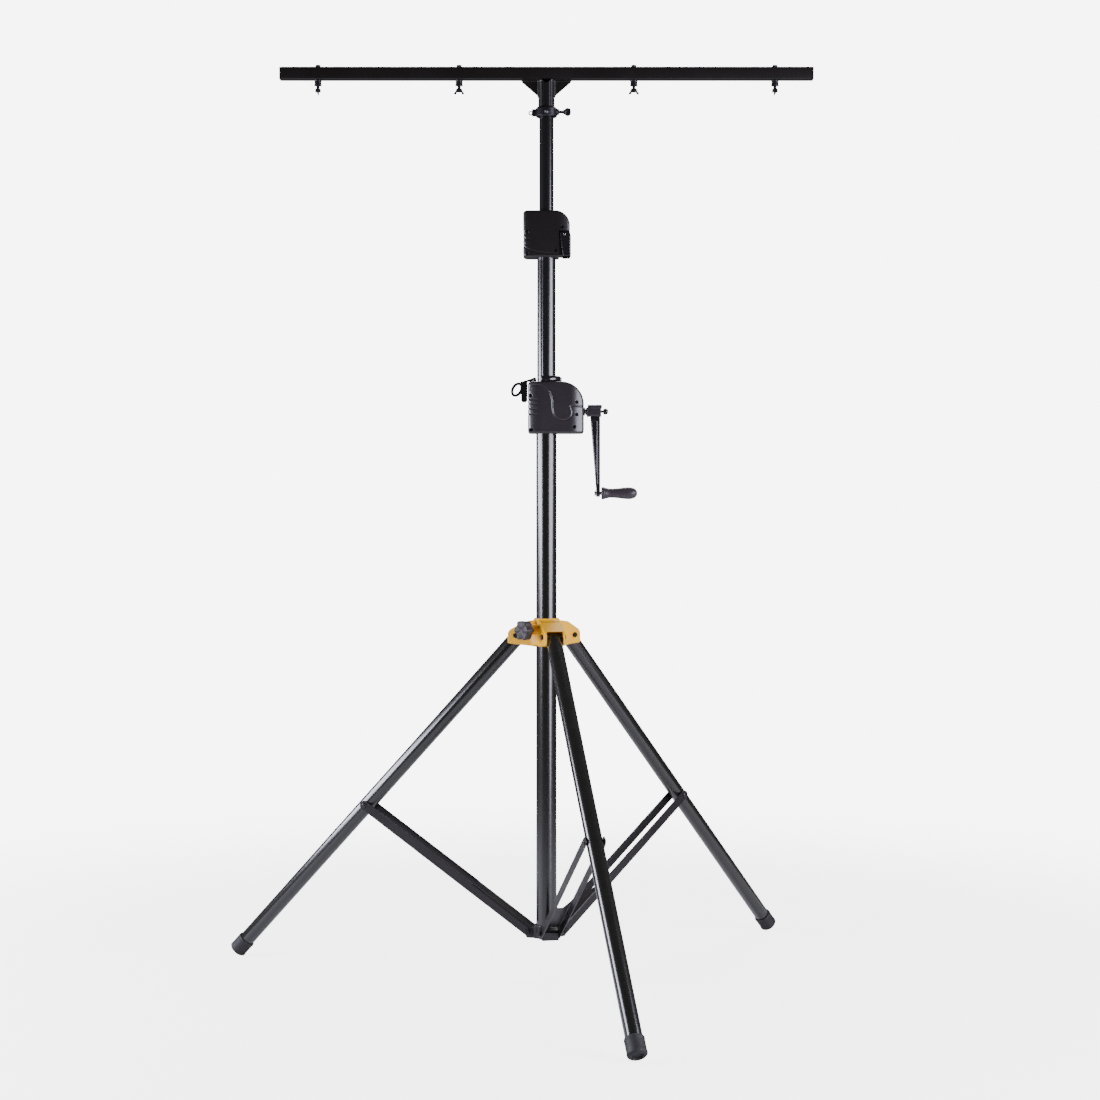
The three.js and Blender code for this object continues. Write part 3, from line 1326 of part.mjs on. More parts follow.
const topCase = upperHousing();
addPart(stand, "upper_housing_front", halfOf(topCase, TOP_CASE, "front"), blackPlastic);
addPart(stand, "upper_housing_rear", halfOf(topCase, TOP_CASE, "rear"), blackPlastic);
addPart(stand, "release_trigger", releaseTrigger(), blackPlastic);
addPart(stand, "trigger_pin", triggerPin(), zinc);
addPart(stand, "grip_plate", gripPlate(), darkSteel);
addPart(stand, "lock_spring", lockSpring(), zinc);

addPart(stand, "crossbar", crossbar(), blackCoat);
addPart(stand, "crossbar_plug_right", crossbarPlug(1), blackPlastic);
addPart(stand, "crossbar_plug_left", crossbarPlug(-1), blackPlastic);
addPart(stand, "bar_socket", barSocket(), blackCoat);
addPart(stand, "socket_clamp", socketClamp(), blackPlastic);
addPart(stand, "clamp_screw", clampScrew(), blackPlastic);
LAMP_POSITIONS.forEach((x, i) => {
  const outerBolt = i === 0 || i === LAMP_POSITIONS.length - 1;
  addPart(stand, `lamp_bolt_${i + 1}`, lampBolt(x), darkSteel);
  addPart(stand, `wing_nut_${i + 1}`, wingNut(x, outerBolt ? 90 : 0), darkSteel);
});

export default stand;
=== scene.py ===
# %% [markdown]
# # A crank lighting stand
#
# This lesson dresses a finished CAD frame. The frame gives every part its size, its place and the
# body that it moves with. Each cell below makes one piece or one finish of the stand: smooth tubes,
# moulded housings, pressed braces, rubber feet, and the small bolts that hold it all together.
# Sizes are in millimetres until a mesh is made, because a maker's drawing of a stand is in
# millimetres, and Blender's metres come in at the last step.

# %% Load the frame
import math

import bmesh
import bpy
import numpy as np
from mathutils import Matrix, Vector


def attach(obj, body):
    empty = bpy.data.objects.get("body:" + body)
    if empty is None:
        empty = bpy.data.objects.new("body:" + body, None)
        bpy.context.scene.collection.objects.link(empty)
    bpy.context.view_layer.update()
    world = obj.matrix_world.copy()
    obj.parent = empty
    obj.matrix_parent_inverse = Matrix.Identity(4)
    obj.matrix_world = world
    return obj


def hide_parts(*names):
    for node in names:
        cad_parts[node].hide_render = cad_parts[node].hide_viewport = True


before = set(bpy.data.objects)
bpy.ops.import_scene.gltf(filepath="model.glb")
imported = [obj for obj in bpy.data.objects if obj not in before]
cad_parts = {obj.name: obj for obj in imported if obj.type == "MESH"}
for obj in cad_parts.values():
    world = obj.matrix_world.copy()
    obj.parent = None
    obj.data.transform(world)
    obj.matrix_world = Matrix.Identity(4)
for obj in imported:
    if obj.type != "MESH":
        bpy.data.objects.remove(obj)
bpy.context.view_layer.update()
MM = 0.001

# %% [markdown]
# ## The camera
#
# The stand is seen level from a good five metres away, at about the height of the crank, so upright
# tubes stay upright. A long lens keeps the perspective mild. The lens shift frames the stand, and
# does it without tilting the camera, which would make the mast lean.

# %% Camera
CAMERA_DISTANCE = 5.2
CAMERA_HEIGHT = 1.16
SENSOR_WIDTH = 36
LENS = 69.8
SHIFT_RIGHT = 0.0032273
SHIFT_UP = -0.0454545
camera_data = bpy.data.cameras.new("camera")
camera_data.sensor_width = SENSOR_WIDTH
camera_data.lens = LENS
camera_data.shift_x = SHIFT_RIGHT
camera_data.shift_y = SHIFT_UP
camera = bpy.data.objects.new("camera", camera_data)
camera.location = (0, -CAMERA_DISTANCE, CAMERA_HEIGHT)
camera.rotation_euler = (math.pi / 2, 0, 0)
bpy.context.scene.collection.objects.link(camera)
bpy.context.scene.camera = camera
print("camera at", tuple(camera.location))

# %% [markdown]
# ## Helpers for meshes
#
# `mesh_piece` turns lists of points and faces into an object. Faces are smooth, and only the edges
# that are really sharp stay sharp, which is how a turned or moulded surface catches light.
# `dress` gives a piece its finish, the body that it rides on and the CAD nodes that it stands for.

# %% Mesh helpers
SHARP = math.radians(38)


def mesh_piece(name, points, faces, sharp=SHARP):
    """A smooth object from points in millimetres; edges steeper than sharp stay sharp."""
    mesh = bpy.data.meshes.new(name)
    mesh.from_pydata([tuple(p) for p in np.asarray(points, float) * MM], [], [tuple(f) for f in faces])
    mesh.validate()
    mesh.polygons.foreach_set("use_smooth", [True] * len(mesh.polygons))
    mesh.set_sharp_from_angle(angle=sharp)
    piece = bpy.data.objects.new(name, mesh)
    bpy.context.scene.collection.objects.link(piece)
    return piece


def dress(piece, body, finish, replaced=()):
    material, slot = finish
    piece.data.materials.clear()
    piece.data.materials.append(material)
    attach(piece, body)
    if replaced:
        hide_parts(*replaced)
    return piece


def joined(name, pieces):
    """One object from several, all of them still in the row frame."""
    work = bmesh.new()
    for piece in pieces:
        piece.data.transform(piece.matrix_world)
        work.from_mesh(piece.data)
        bpy.data.objects.remove(piece)
    mesh = bpy.data.meshes.new(name)
    work.to_mesh(mesh)
    work.free()
    mesh.polygons.foreach_set("use_smooth", [True] * len(mesh.polygons))
    mesh.set_sharp_from_angle(angle=SHARP)
    whole = bpy.data.objects.new(name, mesh)
    bpy.context.scene.collection.objects.link(whole)
    return whole


def copied(name, piece):
    twin = bpy.data.objects.new(name, piece.data.copy())
    bpy.context.scene.collection.objects.link(twin)
    return twin


def place(piece, matrix):
    """Moves a piece's points by a matrix whose shift is in millimetres."""
    shifted = matrix.copy()
    shifted.translation = matrix.translation * MM
    piece.data.transform(shifted)
    return piece


def shift(x, y, z):
    return Matrix.Translation((x, y, z))


def spin(degrees, axis):
    return Matrix.Rotation(math.radians(degrees), 4, axis)


print("edges stay sharp from", round(math.degrees(SHARP)), "degrees")

# %% [markdown]
# ## Turned pieces
#
# Tubes, bushes, feet and grips are turned: a profile of radius and height, swept round an axis.
# A lathe leaves a small radius on every corner, so `rounded` trims each corner of a profile with a
# short curve first. Those curves give the thin bright lines that edges have in real life.

# %% Lathe
def rounded(profile, radius, steps=3, closed=False):
    """The profile with each inner corner replaced by a short curve."""
    points = [np.array(p, float) for p in profile]
    count = len(points)
    made = []
    for i, corner in enumerate(points):
        if not closed and i in (0, count - 1):
            made.append(corner)
            continue
        before, after = points[i - 1], points[(i + 1) % count]
        back, ahead = before - corner, after - corner
        reach = min(radius, 0.45 * np.linalg.norm(back), 0.45 * np.linalg.norm(ahead))
        start = corner + back / max(np.linalg.norm(back), 1e-9) * reach
        end = corner + ahead / max(np.linalg.norm(ahead), 1e-9) * reach
        for k in range(steps + 1):
            t = k / steps
            made.append((1 - t) ** 2 * start + 2 * t * (1 - t) * corner + t**2 * end)
    return made


def lathe(name, profile, segments=48, closed=False, axis="Z"):
    """profile holds (radius, height) pairs; a point on the axis closes an end."""
    rings, points, faces = [], [], []
    for radius, height in profile:
        if radius < 1e-6:
            rings.append([len(points)])
            points.append((0, 0, height))
            continue
        first = len(points)
        for k in range(segments):
            a = 2 * math.pi * k / segments
            points.append((radius * math.cos(a), radius * math.sin(a), height))
        rings.append(list(range(first, first + segments)))
    pairs = list(zip(rings, rings[1:] + ([rings[0]] if closed else [])))
    for low, high in pairs if closed else pairs[: len(rings) - 1]:
        for k in range(segments):
            n = (k + 1) % segments
            if len(low) == len(high) == 1:
                continue
            if len(low) == 1:
                faces.append((low[0], high[n], high[k]))
            elif len(high) == 1:
                faces.append((low[k], low[n], high[0]))
            else:
                faces.append((low[k], low[n], high[n], high[k]))
    piece = mesh_piece(name, points, faces)
    if axis == "X":
        place(piece, spin(90, "Y"))
    if axis == "Y":
        place(piece, spin(-90, "X"))
    return piece


def tube(name, inner, outer, low, high, segments=64):
    profile = [(inner, low), (outer, low), (outer, high), (inner, high)]
    return lathe(name, rounded(profile, 0.5, closed=True), segments, closed=True)


print("lathe ready")

# %% [markdown]
# ## Plates and bars
#
# A pressed or sawn piece is a flat outline with thickness. `plate` extrudes the outline and bevels
# its rims, because even a plain bar has broken edges that pick up a line of light.

# %% Plate
def plate(name, outline, low, high, bevel=0.6, axis="Y"):
    """The outline is drawn in (x, z) for Y, in (y, z) for X and in (x, y) for Z."""
    work = bmesh.new()
    base = [work.verts.new((a, b, 0)) for a, b in outline]
    face = work.faces.new(base)
    grown = bmesh.ops.extrude_face_region(work, geom=[face])
    top = [v for v in grown["geom"] if isinstance(v, bmesh.types.BMVert)]
    bmesh.ops.translate(work, verts=top, vec=(0, 0, high - low))
    bmesh.ops.recalc_face_normals(work, faces=work.faces)
    if bevel:
        rims = [e for e in work.edges if abs(e.verts[0].co.z - e.verts[1].co.z) < 1e-6]
        corners = [
            e for e in work.edges if e not in rims and e.calc_face_angle(0) > math.radians(40)
        ]
        bmesh.ops.bevel(
            work, geom=rims + corners, offset=bevel, segments=2, profile=0.6, affect="EDGES"
        )
    bmesh.ops.scale(work, vec=(MM, MM, MM), verts=work.verts)
    mesh = bpy.data.meshes.new(name)
    work.to_mesh(mesh)
    work.free()
    piece = bpy.data.objects.new(name, mesh)
    bpy.context.scene.collection.objects.link(piece)
    mesh.polygons.foreach_set("use_smooth", [True] * len(mesh.polygons))
    mesh.set_sharp_from_angle(angle=SHARP)
    if axis == "Z":
        place(piece, shift(0, 0, low))
    if axis == "Y":
        place(piece, Matrix(((1, 0, 0, 0), (0, 0, -1, high), (0, 1, 0, 0), (0, 0, 0, 1))))
    if axis == "X":
        place(piece, Matrix(((0, 0, 1, low), (1, 0, 0, 0), (0, 1, 0, 0), (0, 0, 0, 1))))
    return piece


def arc(centre, radius, start, end, steps=10):
    """Points on an arc, in degrees, for an outline."""
    angles = np.radians(np.linspace(start, end, steps + 1))
    return [(centre[0] + radius * math.cos(a), centre[1] + radius * math.sin(a)) for a in angles]


print("plate ready")

# %% [markdown]
# ## Moulded pieces
#
# Housings, the leg collar and the knob are plastic mouldings: simple solids run together, with soft
# fillets where they meet. Box modelling such shapes is slow, and booleans leave hard seams. A distance
# field suits them better. A field says how far any point is from the skin, less than zero inside. Fields
# join with a minimum, cut with a maximum, and a smooth minimum makes the fillet. The shapes below are
# the fields that the stand's mouldings are put together from.

# %% Field shapes
def sharp_max(a, b):
    return np.maximum(a, b)


def soft_min(a, b, fillet):
    near = np.maximum(fillet - np.abs(a - b), 0) / fillet
    return np.minimum(a, b) - near * near * fillet / 4


def soft_max(a, b, fillet):
    return -soft_min(-a, -b, fillet)


def crossed(u, v, fillet=0.0):
    """The field of what is inside both of two outlines in different planes."""
    u, v = u + fillet, v + fillet
    return np.hypot(np.maximum(u, 0), np.maximum(v, 0)) + np.minimum(np.maximum(u, v), 0) - fillet


def slab(a, low, high):
    return np.abs(a - (low + high) / 2) - (high - low) / 2


def block_field(x, y, z, lows, highs, fillet=0.0):
    flat = crossed(slab(x, lows[0], highs[0]), slab(y, lows[1], highs[1]), fillet)
    return crossed(flat, slab(z, lows[2], highs[2]), fillet)


def rod_field(a, b, along, radius, low, high, fillet=0.0):
    return crossed(np.hypot(a, b) - radius, slab(along, low, high), fillet)


def polygon_field(a, b, corners):
    """Distance to a polygon in the plane, less than zero inside."""
    nearest = np.full(np.shape(a), 1e9)
    sign = np.ones(np.shape(a))
    for (x0, y0), (x1, y1) in zip(corners, corners[1:] + corners[:1]):
        ex, ey = x1 - x0, y1 - y0
        wx, wy = a - x0, b - y0
        t = np.clip((wx * ex + wy * ey) / (ex * ex + ey * ey), 0, 1)
        nearest = np.minimum(nearest, (wx - ex * t) ** 2 + (wy - ey * t) ** 2)
        up, down, left = b >= y0, b < y1, ex * wy > ey * wx
        flip = (up & down & left) | (~up & ~down & ~left)
        sign = np.where(flip, -sign, sign)
    return sign * np.sqrt(nearest)


def rounded_box_outline(a, b, lows, highs, radii):
    """A rectangle whose corners have their own radii: low-low, high-low, high-high, low-high."""
    middle_a, middle_b = (lows[0] + highs[0]) / 2, (lows[1] + highs[1]) / 2
    right, upper = a > middle_a, b > middle_b
    radius = np.where(right, np.where(upper, radii[2], radii[1]), np.where(upper, radii[3], radii[0]))
    qa = np.abs(a - middle_a) - (highs[0] - lows[0]) / 2 + radius
    qb = np.abs(b - middle_b) - (highs[1] - lows[1]) / 2 + radius
    return np.hypot(np.maximum(qa, 0), np.maximum(qb, 0)) + np.minimum(np.maximum(qa, qb), 0) - radius


def turned_to(x, y, azimuth):
    """Coordinates along and across a direction in plan."""
    c, s = math.cos(math.radians(azimuth)), math.sin(math.radians(azimuth))
    return x * c + y * s, y * c - x * s


def polyline_distance(a, b, line):
    nearest = np.full(np.shape(a), 1e9)
    for (x0, y0), (x1, y1) in zip(line, line[1:]):
        ex, ey = x1 - x0, y1 - y0
        t = np.clip(((a - x0) * ex + (b - y0) * ey) / (ex * ex + ey * ey), 0, 1)
        nearest = np.minimum(nearest, np.hypot(a - x0 - ex * t, b - y0 - ey * t))
    return nearest


def curve_through(points, steps=8):
    """A smooth line through points, as short straight steps."""
    ends = [points[0], *points, points[-1]]
    made = []
    for p0, p1, p2, p3 in zip(ends, ends[1:], ends[2:], ends[3:]):
        for k in range(steps):
            t = k / steps
            made.append(
                tuple(
                    0.5
                    * (
                        2 * b
                        + (c - a) * t
                        + (2 * a - 5 * b + 4 * c - d) * t**2
                        + (3 * b - a - 3 * c + d) * t**3
                    )
                    for a, b, c, d in zip(p0, p1, p2, p3)
                )
            )
    return made + [points[-1]]


def bell(distance, width):
    """1 on a line, falling smoothly to 0 at width from it."""
    return np.clip(1 - (distance / width) ** 2, 0, 1) ** 2


def ramp(a, low, high):
    t = np.clip((a - low) / (high - low), 0, 1)
    return t * t * (3 - 2 * t)


print("field shapes ready")

# %% [markdown]
# ## From a field to a mesh
#
# `moulding` samples a field on a grid, puts a point in every cell that the skin passes through, and then
# moves each point onto the skin, so flats come out flat. Marching cubes would do it too, but leaves thin
# triangles along every edge. Fine relief, such as grip grooves, is pressed in along the normals, and
# flat areas are thinned at the end, because they need few faces.

# %% Moulding
def gradient(field, points, step):
    found = []
    for axis in range(3):
        ahead, behind = points.copy(), points.copy()
        ahead[:, axis] += step
        behind[:, axis] -= step
        found.append((field(*ahead.T) - field(*behind.T)) / (2 * step))
    return np.stack(found, 1)


def moulding(name, field, low, high, cell=1.0, relief=None, keep=0.5, sharp=SHARP):
    """The skin of a field in a box. keep is the share of faces left once flat areas are thinned."""
    low = np.array(low, float) - 1.5 * cell
    counts = np.ceil((np.array(high, float) + 1.5 * cell - low) / cell).astype(int) + 1
    axes = [low[k] + cell * np.arange(counts[k]) for k in range(3)]
    values = field(*np.meshgrid(*axes, indexing="ij"))
    inside = values < 0
    cells = counts - 1
    strides = np.array([cells[1] * cells[2], cells[2], 1])
    size = int(cells.prod())
    total, hits, quads = np.zeros((size, 3)), np.zeros(size), []
    for axis in range(3):
        ahead, behind = [slice(None)] * 3, [slice(None)] * 3
        ahead[axis], behind[axis] = slice(1, None), slice(None, -1)
        start = np.argwhere(inside[tuple(ahead)] != inside[tuple(behind)])
        a = values[tuple(behind)][tuple(start.T)]
        b = values[tuple(ahead)][tuple(start.T)]
        points = low + cell * start
        points[:, axis] += cell * a / (a - b)
        u, v = (axis + 1) % 3, (axis + 2) % 3
        around = []
        for du, dv in ((1, 1), (0, 1), (0, 0), (1, 0)):
            corner = start.copy()
            corner[:, u] -= du
            corner[:, v] -= dv
            index = corner @ strides
            around.append(index)
            hits += np.bincount(index, minlength=size)
            for k in range(3):
                total[:, k] += np.bincount(index, weights=points[:, k], minlength=size)
        quad = np.stack(around, 1)
        quads.append(np.where((a < 0)[:, None], quad, quad[:, ::-1]))
    used = np.flatnonzero(hits)
    number = np.full(size, -1)
    number[used] = np.arange(len(used))
    points = total[used] / hits[used][:, None]
    faces = number[np.concatenate(quads)]
    for _ in range(3):
        slope = gradient(field, points, 0.2 * cell)
        length = np.maximum((slope**2).sum(1), 0.05)
        move = (field(*points.T) / length)[:, None] * slope
        points -= np.clip(move, -0.5 * cell, 0.5 * cell)
    if relief is not None:
        slope = gradient(field, points, 0.2 * cell)
        slope /= np.maximum(np.linalg.norm(slope, axis=1), 1e-6)[:, None]
        points -= relief(*points.T)[:, None] * slope
    piece = mesh_piece(name, points, faces, sharp)
    if keep < 1:
        thin = piece.modifiers.new("thin", "DECIMATE")
        thin.ratio = keep
        graph = bpy.context.evaluated_depsgraph_get()
        thinned = bpy.data.meshes.new_from_object(piece.evaluated_get(graph))
        piece.modifiers.clear()
        piece.data = thinned
        thinned.polygons.foreach_set("use_smooth", [True] * len(thinned.polygons))
        thinned.set_sharp_from_angle(angle=sharp)
    print(name, len(piece.data.polygons), "faces")
    return piece


# %% [markdown]
# ## Shared surface effects
#
# Four effects are used by more than one finish, so each is a node group, built once. Orange peel is
# the faint waviness of powder coat. Mould grain is the fine pebbling of a plastic tool. Handling marks
# make gloss uneven where hands and other tubes rub. Dust settles on faces that look up.

# %% Node groups
def new_group(name, inputs, outputs):
    group = bpy.data.node_groups.new(name, "ShaderNodeTree")
    for label, value in inputs:
        socket = group.interface.new_socket(label, in_out="INPUT", socket_type="NodeSocketFloat")
        socket.default_value = value
    for label in outputs:
        group.interface.new_socket(label, in_out="OUTPUT", socket_type="NodeSocketFloat")
    start = group.nodes.new("NodeGroupInput")
    end = group.nodes.new("NodeGroupOutput")
    return group, start, end


def add(tree, kind, **settings):
    node = tree.nodes.new(kind)
    for key, value in settings.items():
        setattr(node, key, value)
    return node


def wire(tree, source, target):
    tree.links.new(source, target)


def math_node(tree, operation, first, second):
    node = add(tree, "ShaderNodeMath", operation=operation)
    for socket, value in zip(node.inputs, (first, second)):
        if isinstance(value, (int, float)):
            socket.default_value = value
        else:
            wire(tree, value, socket)
    return node.outputs[0]


def noise(tree, coordinate, scale, detail, stretch=None):
    node = add(tree, "ShaderNodeTexNoise")
    node.inputs["Detail"].default_value = detail
    if isinstance(scale, (int, float)):
        node.inputs["Scale"].default_value = scale
    else:
        wire(tree, scale, node.inputs["Scale"])
    if stretch:
        mapping = add(tree, "ShaderNodeMapping")
        mapping.inputs["Scale"].default_value = stretch
        wire(tree, coordinate, mapping.inputs["Vector"])
        coordinate = mapping.outputs["Vector"]
    wire(tree, coordinate, node.inputs["Vector"])
    return node.outputs["Fac"]


def make_orange_peel():
    group, start, end = new_group("orange_peel", [("Scale", 420), ("Fine", 2200)], ["Height"])
    place_in = add(group, "ShaderNodeTexCoord").outputs["Object"]
    waves = noise(group, place_in, start.outputs["Scale"], 1.5)
    specks = noise(group, place_in, start.outputs["Fine"], 0)
    mixed = math_node(group, "ADD", waves, math_node(group, "MULTIPLY", specks, 0.25))
    wire(group, mixed, end.inputs["Height"])
    return group


def make_mould_grain():
    group, start, end = new_group("mould_grain", [("Scale", 1500)], ["Height"])
    place_in = add(group, "ShaderNodeTexCoord").outputs["Object"]
    cells = add(group, "ShaderNodeTexVoronoi")
    wire(group, place_in, cells.inputs["Vector"])
    wire(group, start.outputs["Scale"], cells.inputs["Scale"])
    fine = noise(group, place_in, start.outputs["Scale"], 2)
    mixed = math_node(group, "ADD", math_node(group, "MULTIPLY", cells.outputs["Distance"], 0.6), fine)
    wire(group, mixed, end.inputs["Height"])
    return group


def make_handling():
    inputs = [("Base", 0.3), ("Amount", 0.1), ("Streaks", 0.0)]
    group, start, end = new_group("handling_marks", inputs, ["Roughness", "Scratches"])
    place_in = add(group, "ShaderNodeTexCoord").outputs["Object"]
    smudge = noise(group, place_in, 9, 4)
    centred = math_node(group, "SUBTRACT", smudge, 0.5)
    uneven = math_node(group, "MULTIPLY", centred, start.outputs["Amount"])
    lines = noise(group, place_in, 60, 3, stretch=(14, 14, 0.12))
    thin = add(group, "ShaderNodeMapRange")
    wire(group, lines, thin.inputs["Value"])
    thin.inputs["From Min"].default_value = 0.62
    thin.inputs["From Max"].default_value = 0.74
    scratch = math_node(group, "MULTIPLY", thin.outputs["Result"], start.outputs["Streaks"])
    rough = math_node(group, "ADD", start.outputs["Base"], math_node(group, "MULTIPLY", uneven, 2))
    scuffed = math_node(group, "MULTIPLY", scratch, 0.25)
    wire(group, math_node(group, "ADD", rough, scuffed), end.inputs["Roughness"])
    wire(group, scratch, end.inputs["Scratches"])
    return group


def make_dust():
    group, start, end = new_group("settled_dust", [("Amount", 0.15)], ["Mask"])
    geometry = add(group, "ShaderNodeNewGeometry")
    parts = add(group, "ShaderNodeSeparateXYZ")
    wire(group, geometry.outputs["Normal"], parts.inputs["Vector"])
    upward = add(group, "ShaderNodeMapRange")
    wire(group, parts.outputs["Z"], upward.inputs["Value"])
    upward.inputs["From Min"].default_value = 0.25
    upward.inputs["From Max"].default_value = 0.95
    place_in = add(group, "ShaderNodeTexCoord").outputs["Object"]
    patches = noise(group, place_in, 45, 6)
    laid = math_node(group, "MULTIPLY", upward.outputs["Result"], patches)
    wire(group, math_node(group, "MULTIPLY", laid, start.outputs["Amount"]), end.inputs["Mask"])
    return group


ORANGE_PEEL = make_orange_peel()
MOULD_GRAIN = make_mould_grain()
HANDLING = make_handling()
DUST = make_dust()
print("groups:", [g.name for g in bpy.data.node_groups])

# %% [markdown]
# ## Finishes
#
# A finish is a base colour, its gloss and its texture. Every one of them takes the shared effects with
# its own values: powder coat is glossy with orange peel, mouldings are satin with grain, rubber is dull,
# and plated steel is metallic with a fine grain.

# %% Finish builder
DUST_COLOUR = (0.30, 0.28, 0.26, 1)
BUMP_HEIGHT = 0.0004
COAT_ROUGHNESS = 0.2


def group_node(tree, group, values):
    node = add(tree, "ShaderNodeGroup", node_tree=group)
    for label, value in values.items():
        node.inputs[label].default_value = value
    return node


def finish(name, colour, gloss, texture, depth, metal=0.0, coat=0.0, dust=0.12, shade=0.8, **marks):
    """gloss is the roughness, texture is (group, values), and depth is how far its bump goes.

    shade is the darker tone that mottles the colour, and marks are the handling marks: uneven and streaks.
    """
    material = bpy.data.materials.new(name)
    material.use_nodes = True
    tree = material.node_tree
    tree.nodes.clear()
    out = add(tree, "ShaderNodeOutputMaterial")
    shader = add(tree, "ShaderNodeBsdfPrincipled")
    wire(tree, shader.outputs["BSDF"], out.inputs["Surface"])
    shader.inputs["Metallic"].default_value = metal
    shader.inputs["Coat Weight"].default_value = coat
    shader.inputs["Coat Roughness"].default_value = COAT_ROUGHNESS
    handling = {"Base": gloss, "Amount": marks.get("uneven", 0.12), "Streaks": marks.get("streaks", 0.0)}
    handled = group_node(tree, HANDLING, handling)
    dusty = group_node(tree, DUST, {"Amount": dust})
    place_in = add(tree, "ShaderNodeTexCoord").outputs["Object"]
    mottle = noise(tree, place_in, 30, 3)
    darker = tuple(c * shade for c in colour[:3]) + (1,)
    mixed = add(tree, "ShaderNodeMix", data_type="RGBA")
    mixed.inputs["A"].default_value = (*colour[:3], 1)
    mixed.inputs["B"].default_value = darker
    wire(tree, mottle, mixed.inputs["Factor"])
    laid = add(tree, "ShaderNodeMix", data_type="RGBA")
    wire(tree, mixed.outputs["Result"], laid.inputs["A"])
    laid.inputs["B"].default_value = DUST_COLOUR
    wire(tree, dusty.outputs["Mask"], laid.inputs["Factor"])
    wire(tree, laid.outputs["Result"], shader.inputs["Base Color"])
    dull = math_node(tree, "MULTIPLY", dusty.outputs["Mask"], 0.5)
    rough = math_node(tree, "ADD", handled.outputs["Roughness"], dull)
    wire(tree, rough, shader.inputs["Roughness"])
    group, values = texture
    skin = group_node(tree, group, values)
    bump = add(tree, "ShaderNodeBump")
    bump.inputs["Strength"].default_value = depth
    bump.inputs["Distance"].default_value = BUMP_HEIGHT
    height = math_node(tree, "SUBTRACT", skin.outputs["Height"], handled.outputs["Scratches"])
    wire(tree, height, bump.inputs["Height"])
    wire(tree, bump.outputs["Normal"], shader.inputs["Normal"])
    return material


def linear(code):
    """A hex colour as Blender's linear numbers."""
    parts = [int(code[k : k + 2], 16) / 255 for k in (0, 2, 4)]
    return tuple(c / 12.92 if c <= 0.04045 else ((c + 0.055) / 1.055) ** 2.4 for c in parts)


print("finish builder ready")

# %% [markdown]
# ## The stand's own finishes
#
# Tubes are black powder coat under a clear gloss, and the sliding ones also carry long wear streaks.
# Bar and braces are duller black, housings are satin plastic, and the collar is bright yellow plastic.
# Each finish goes with the slot that the CAD names for it. A list of finishes in one place is easy to
# compare and to retune, which is why they aren't made beside the pieces.

# %% The stand's finishes
PEEL = (ORANGE_PEEL, {"Scale": 420, "Fine": 2200})
GRAIN = (MOULD_GRAIN, {"Scale": 1500})
FINE = (MOULD_GRAIN, {"Scale": 3200})
YELLOW = (1.0, 0.50, 0.0)


def coated(name, code, gloss, depth, **more):
    return finish(name, linear(code), gloss, PEEL, depth, **more), "black_coat"


def plastic(name, code, gloss, texture, depth, slot_name="black_plastic", **more):
    return finish(name, linear(code), gloss, texture, depth, **more), slot_name


def metal(name, code, gloss, amount, slot_name, depth=0.1, dust=0.05):
    return finish(name, linear(code), gloss, FINE, depth, metal=amount, dust=dust), slot_name


coat = coated("black_coat", "14120d", 0.24, 0.02, coat=0.9, dust=0.04, uneven=0.05)
sliding_coat = coated("sliding_coat", "131113", 0.24, 0.02, coat=0.9, streaks=0.3, dust=0.03, uneven=0.05)
bar_coat = coated("bar_coat", "120c09", 0.4, 0.08, dust=0.04)
brace_coat = coated("brace_coat", "1e191a", 0.34, 0.08, dust=0.06)
case_plastic = plastic("case_plastic", "2c2529", 0.36, GRAIN, 0.10, coat=0.5, dust=0.06)
top_plastic = plastic("top_plastic", "1a1415", 0.34, GRAIN, 0.10, coat=0.3, dust=0.05)
gloss_plastic = plastic("gloss_plastic", "1a1719", 0.16, FINE, 0.05, coat=0.4, dust=0.05)
yellow_skin = finish("yellow_plastic", YELLOW, 0.42, FINE, 0.04, dust=0.0, shade=0.94)
yellow_plastic = (yellow_skin, "yellow_plastic")
knob_plastic = plastic("knob_plastic", "332a2d", 0.5, GRAIN, 0.35, "rubber", dust=0.10)
foot_rubber = plastic("foot_rubber", "1c1a1b", 0.55, GRAIN, 0.5, "rubber", dust=0.14)
grip_plastic = plastic("grip_plastic", "3b3238", 0.38, GRAIN, 0.2, "grip_plastic", dust=0.08)
plated = metal("plated_steel", "a6a8ac", 0.3, 1.0, "zinc")
dark_steel = metal("dark_steel", "2e2c2f", 0.34, 0.6, "dark_steel")
bronze_metal = metal("bronze_metal", "a57a42", 0.35, 1.0, "bronze", dust=0)
dark_bronze = metal("dark_bronze", "3a2a1c", 0.45, 0.6, "bronze", dust=0)
natural_acetal = plastic("natural_acetal", "d8d6cf", 0.45, FINE, 0.08, "acetal", dust=0)
print("finishes:", len(bpy.data.materials))

# %% [markdown]
# ## The legs
#
# Each leg is a straight steel tube, 38 mm across, with a rubber cap on its foot. A knuckle is driven into
# its top: an eye for the hinge bolt, a neck and a plug. Lower down a bush on each side spaces the brace.
# Tube, bushes and cap are round, so a lathe makes them, and the knuckle is moulded, since its parts run
# into each other. A leg is drawn hanging straight down from its hinge, then swung out to its tilt and
# turned to its bearing, so one drawing serves all three legs.

# %% Legs and feet
HINGE_RADIUS = 70
HINGE_HEIGHT = 829.771
LEG_TILT = 42.7
LEG_LENGTH = 1112
LEG_RADIUS = 19
BRACE_DOWN_LEG = 586
BEARINGS = {"front": -76.8, "right": 43.2, "left": 163.2}


def leg_place(side):
    """From a leg hanging down at the origin to its place on the stand."""
    hinge = shift(HINGE_RADIUS, 0, HINGE_HEIGHT)
    return spin(BEARINGS[side], "Z") @ hinge @ spin(-LEG_TILT, "Y")


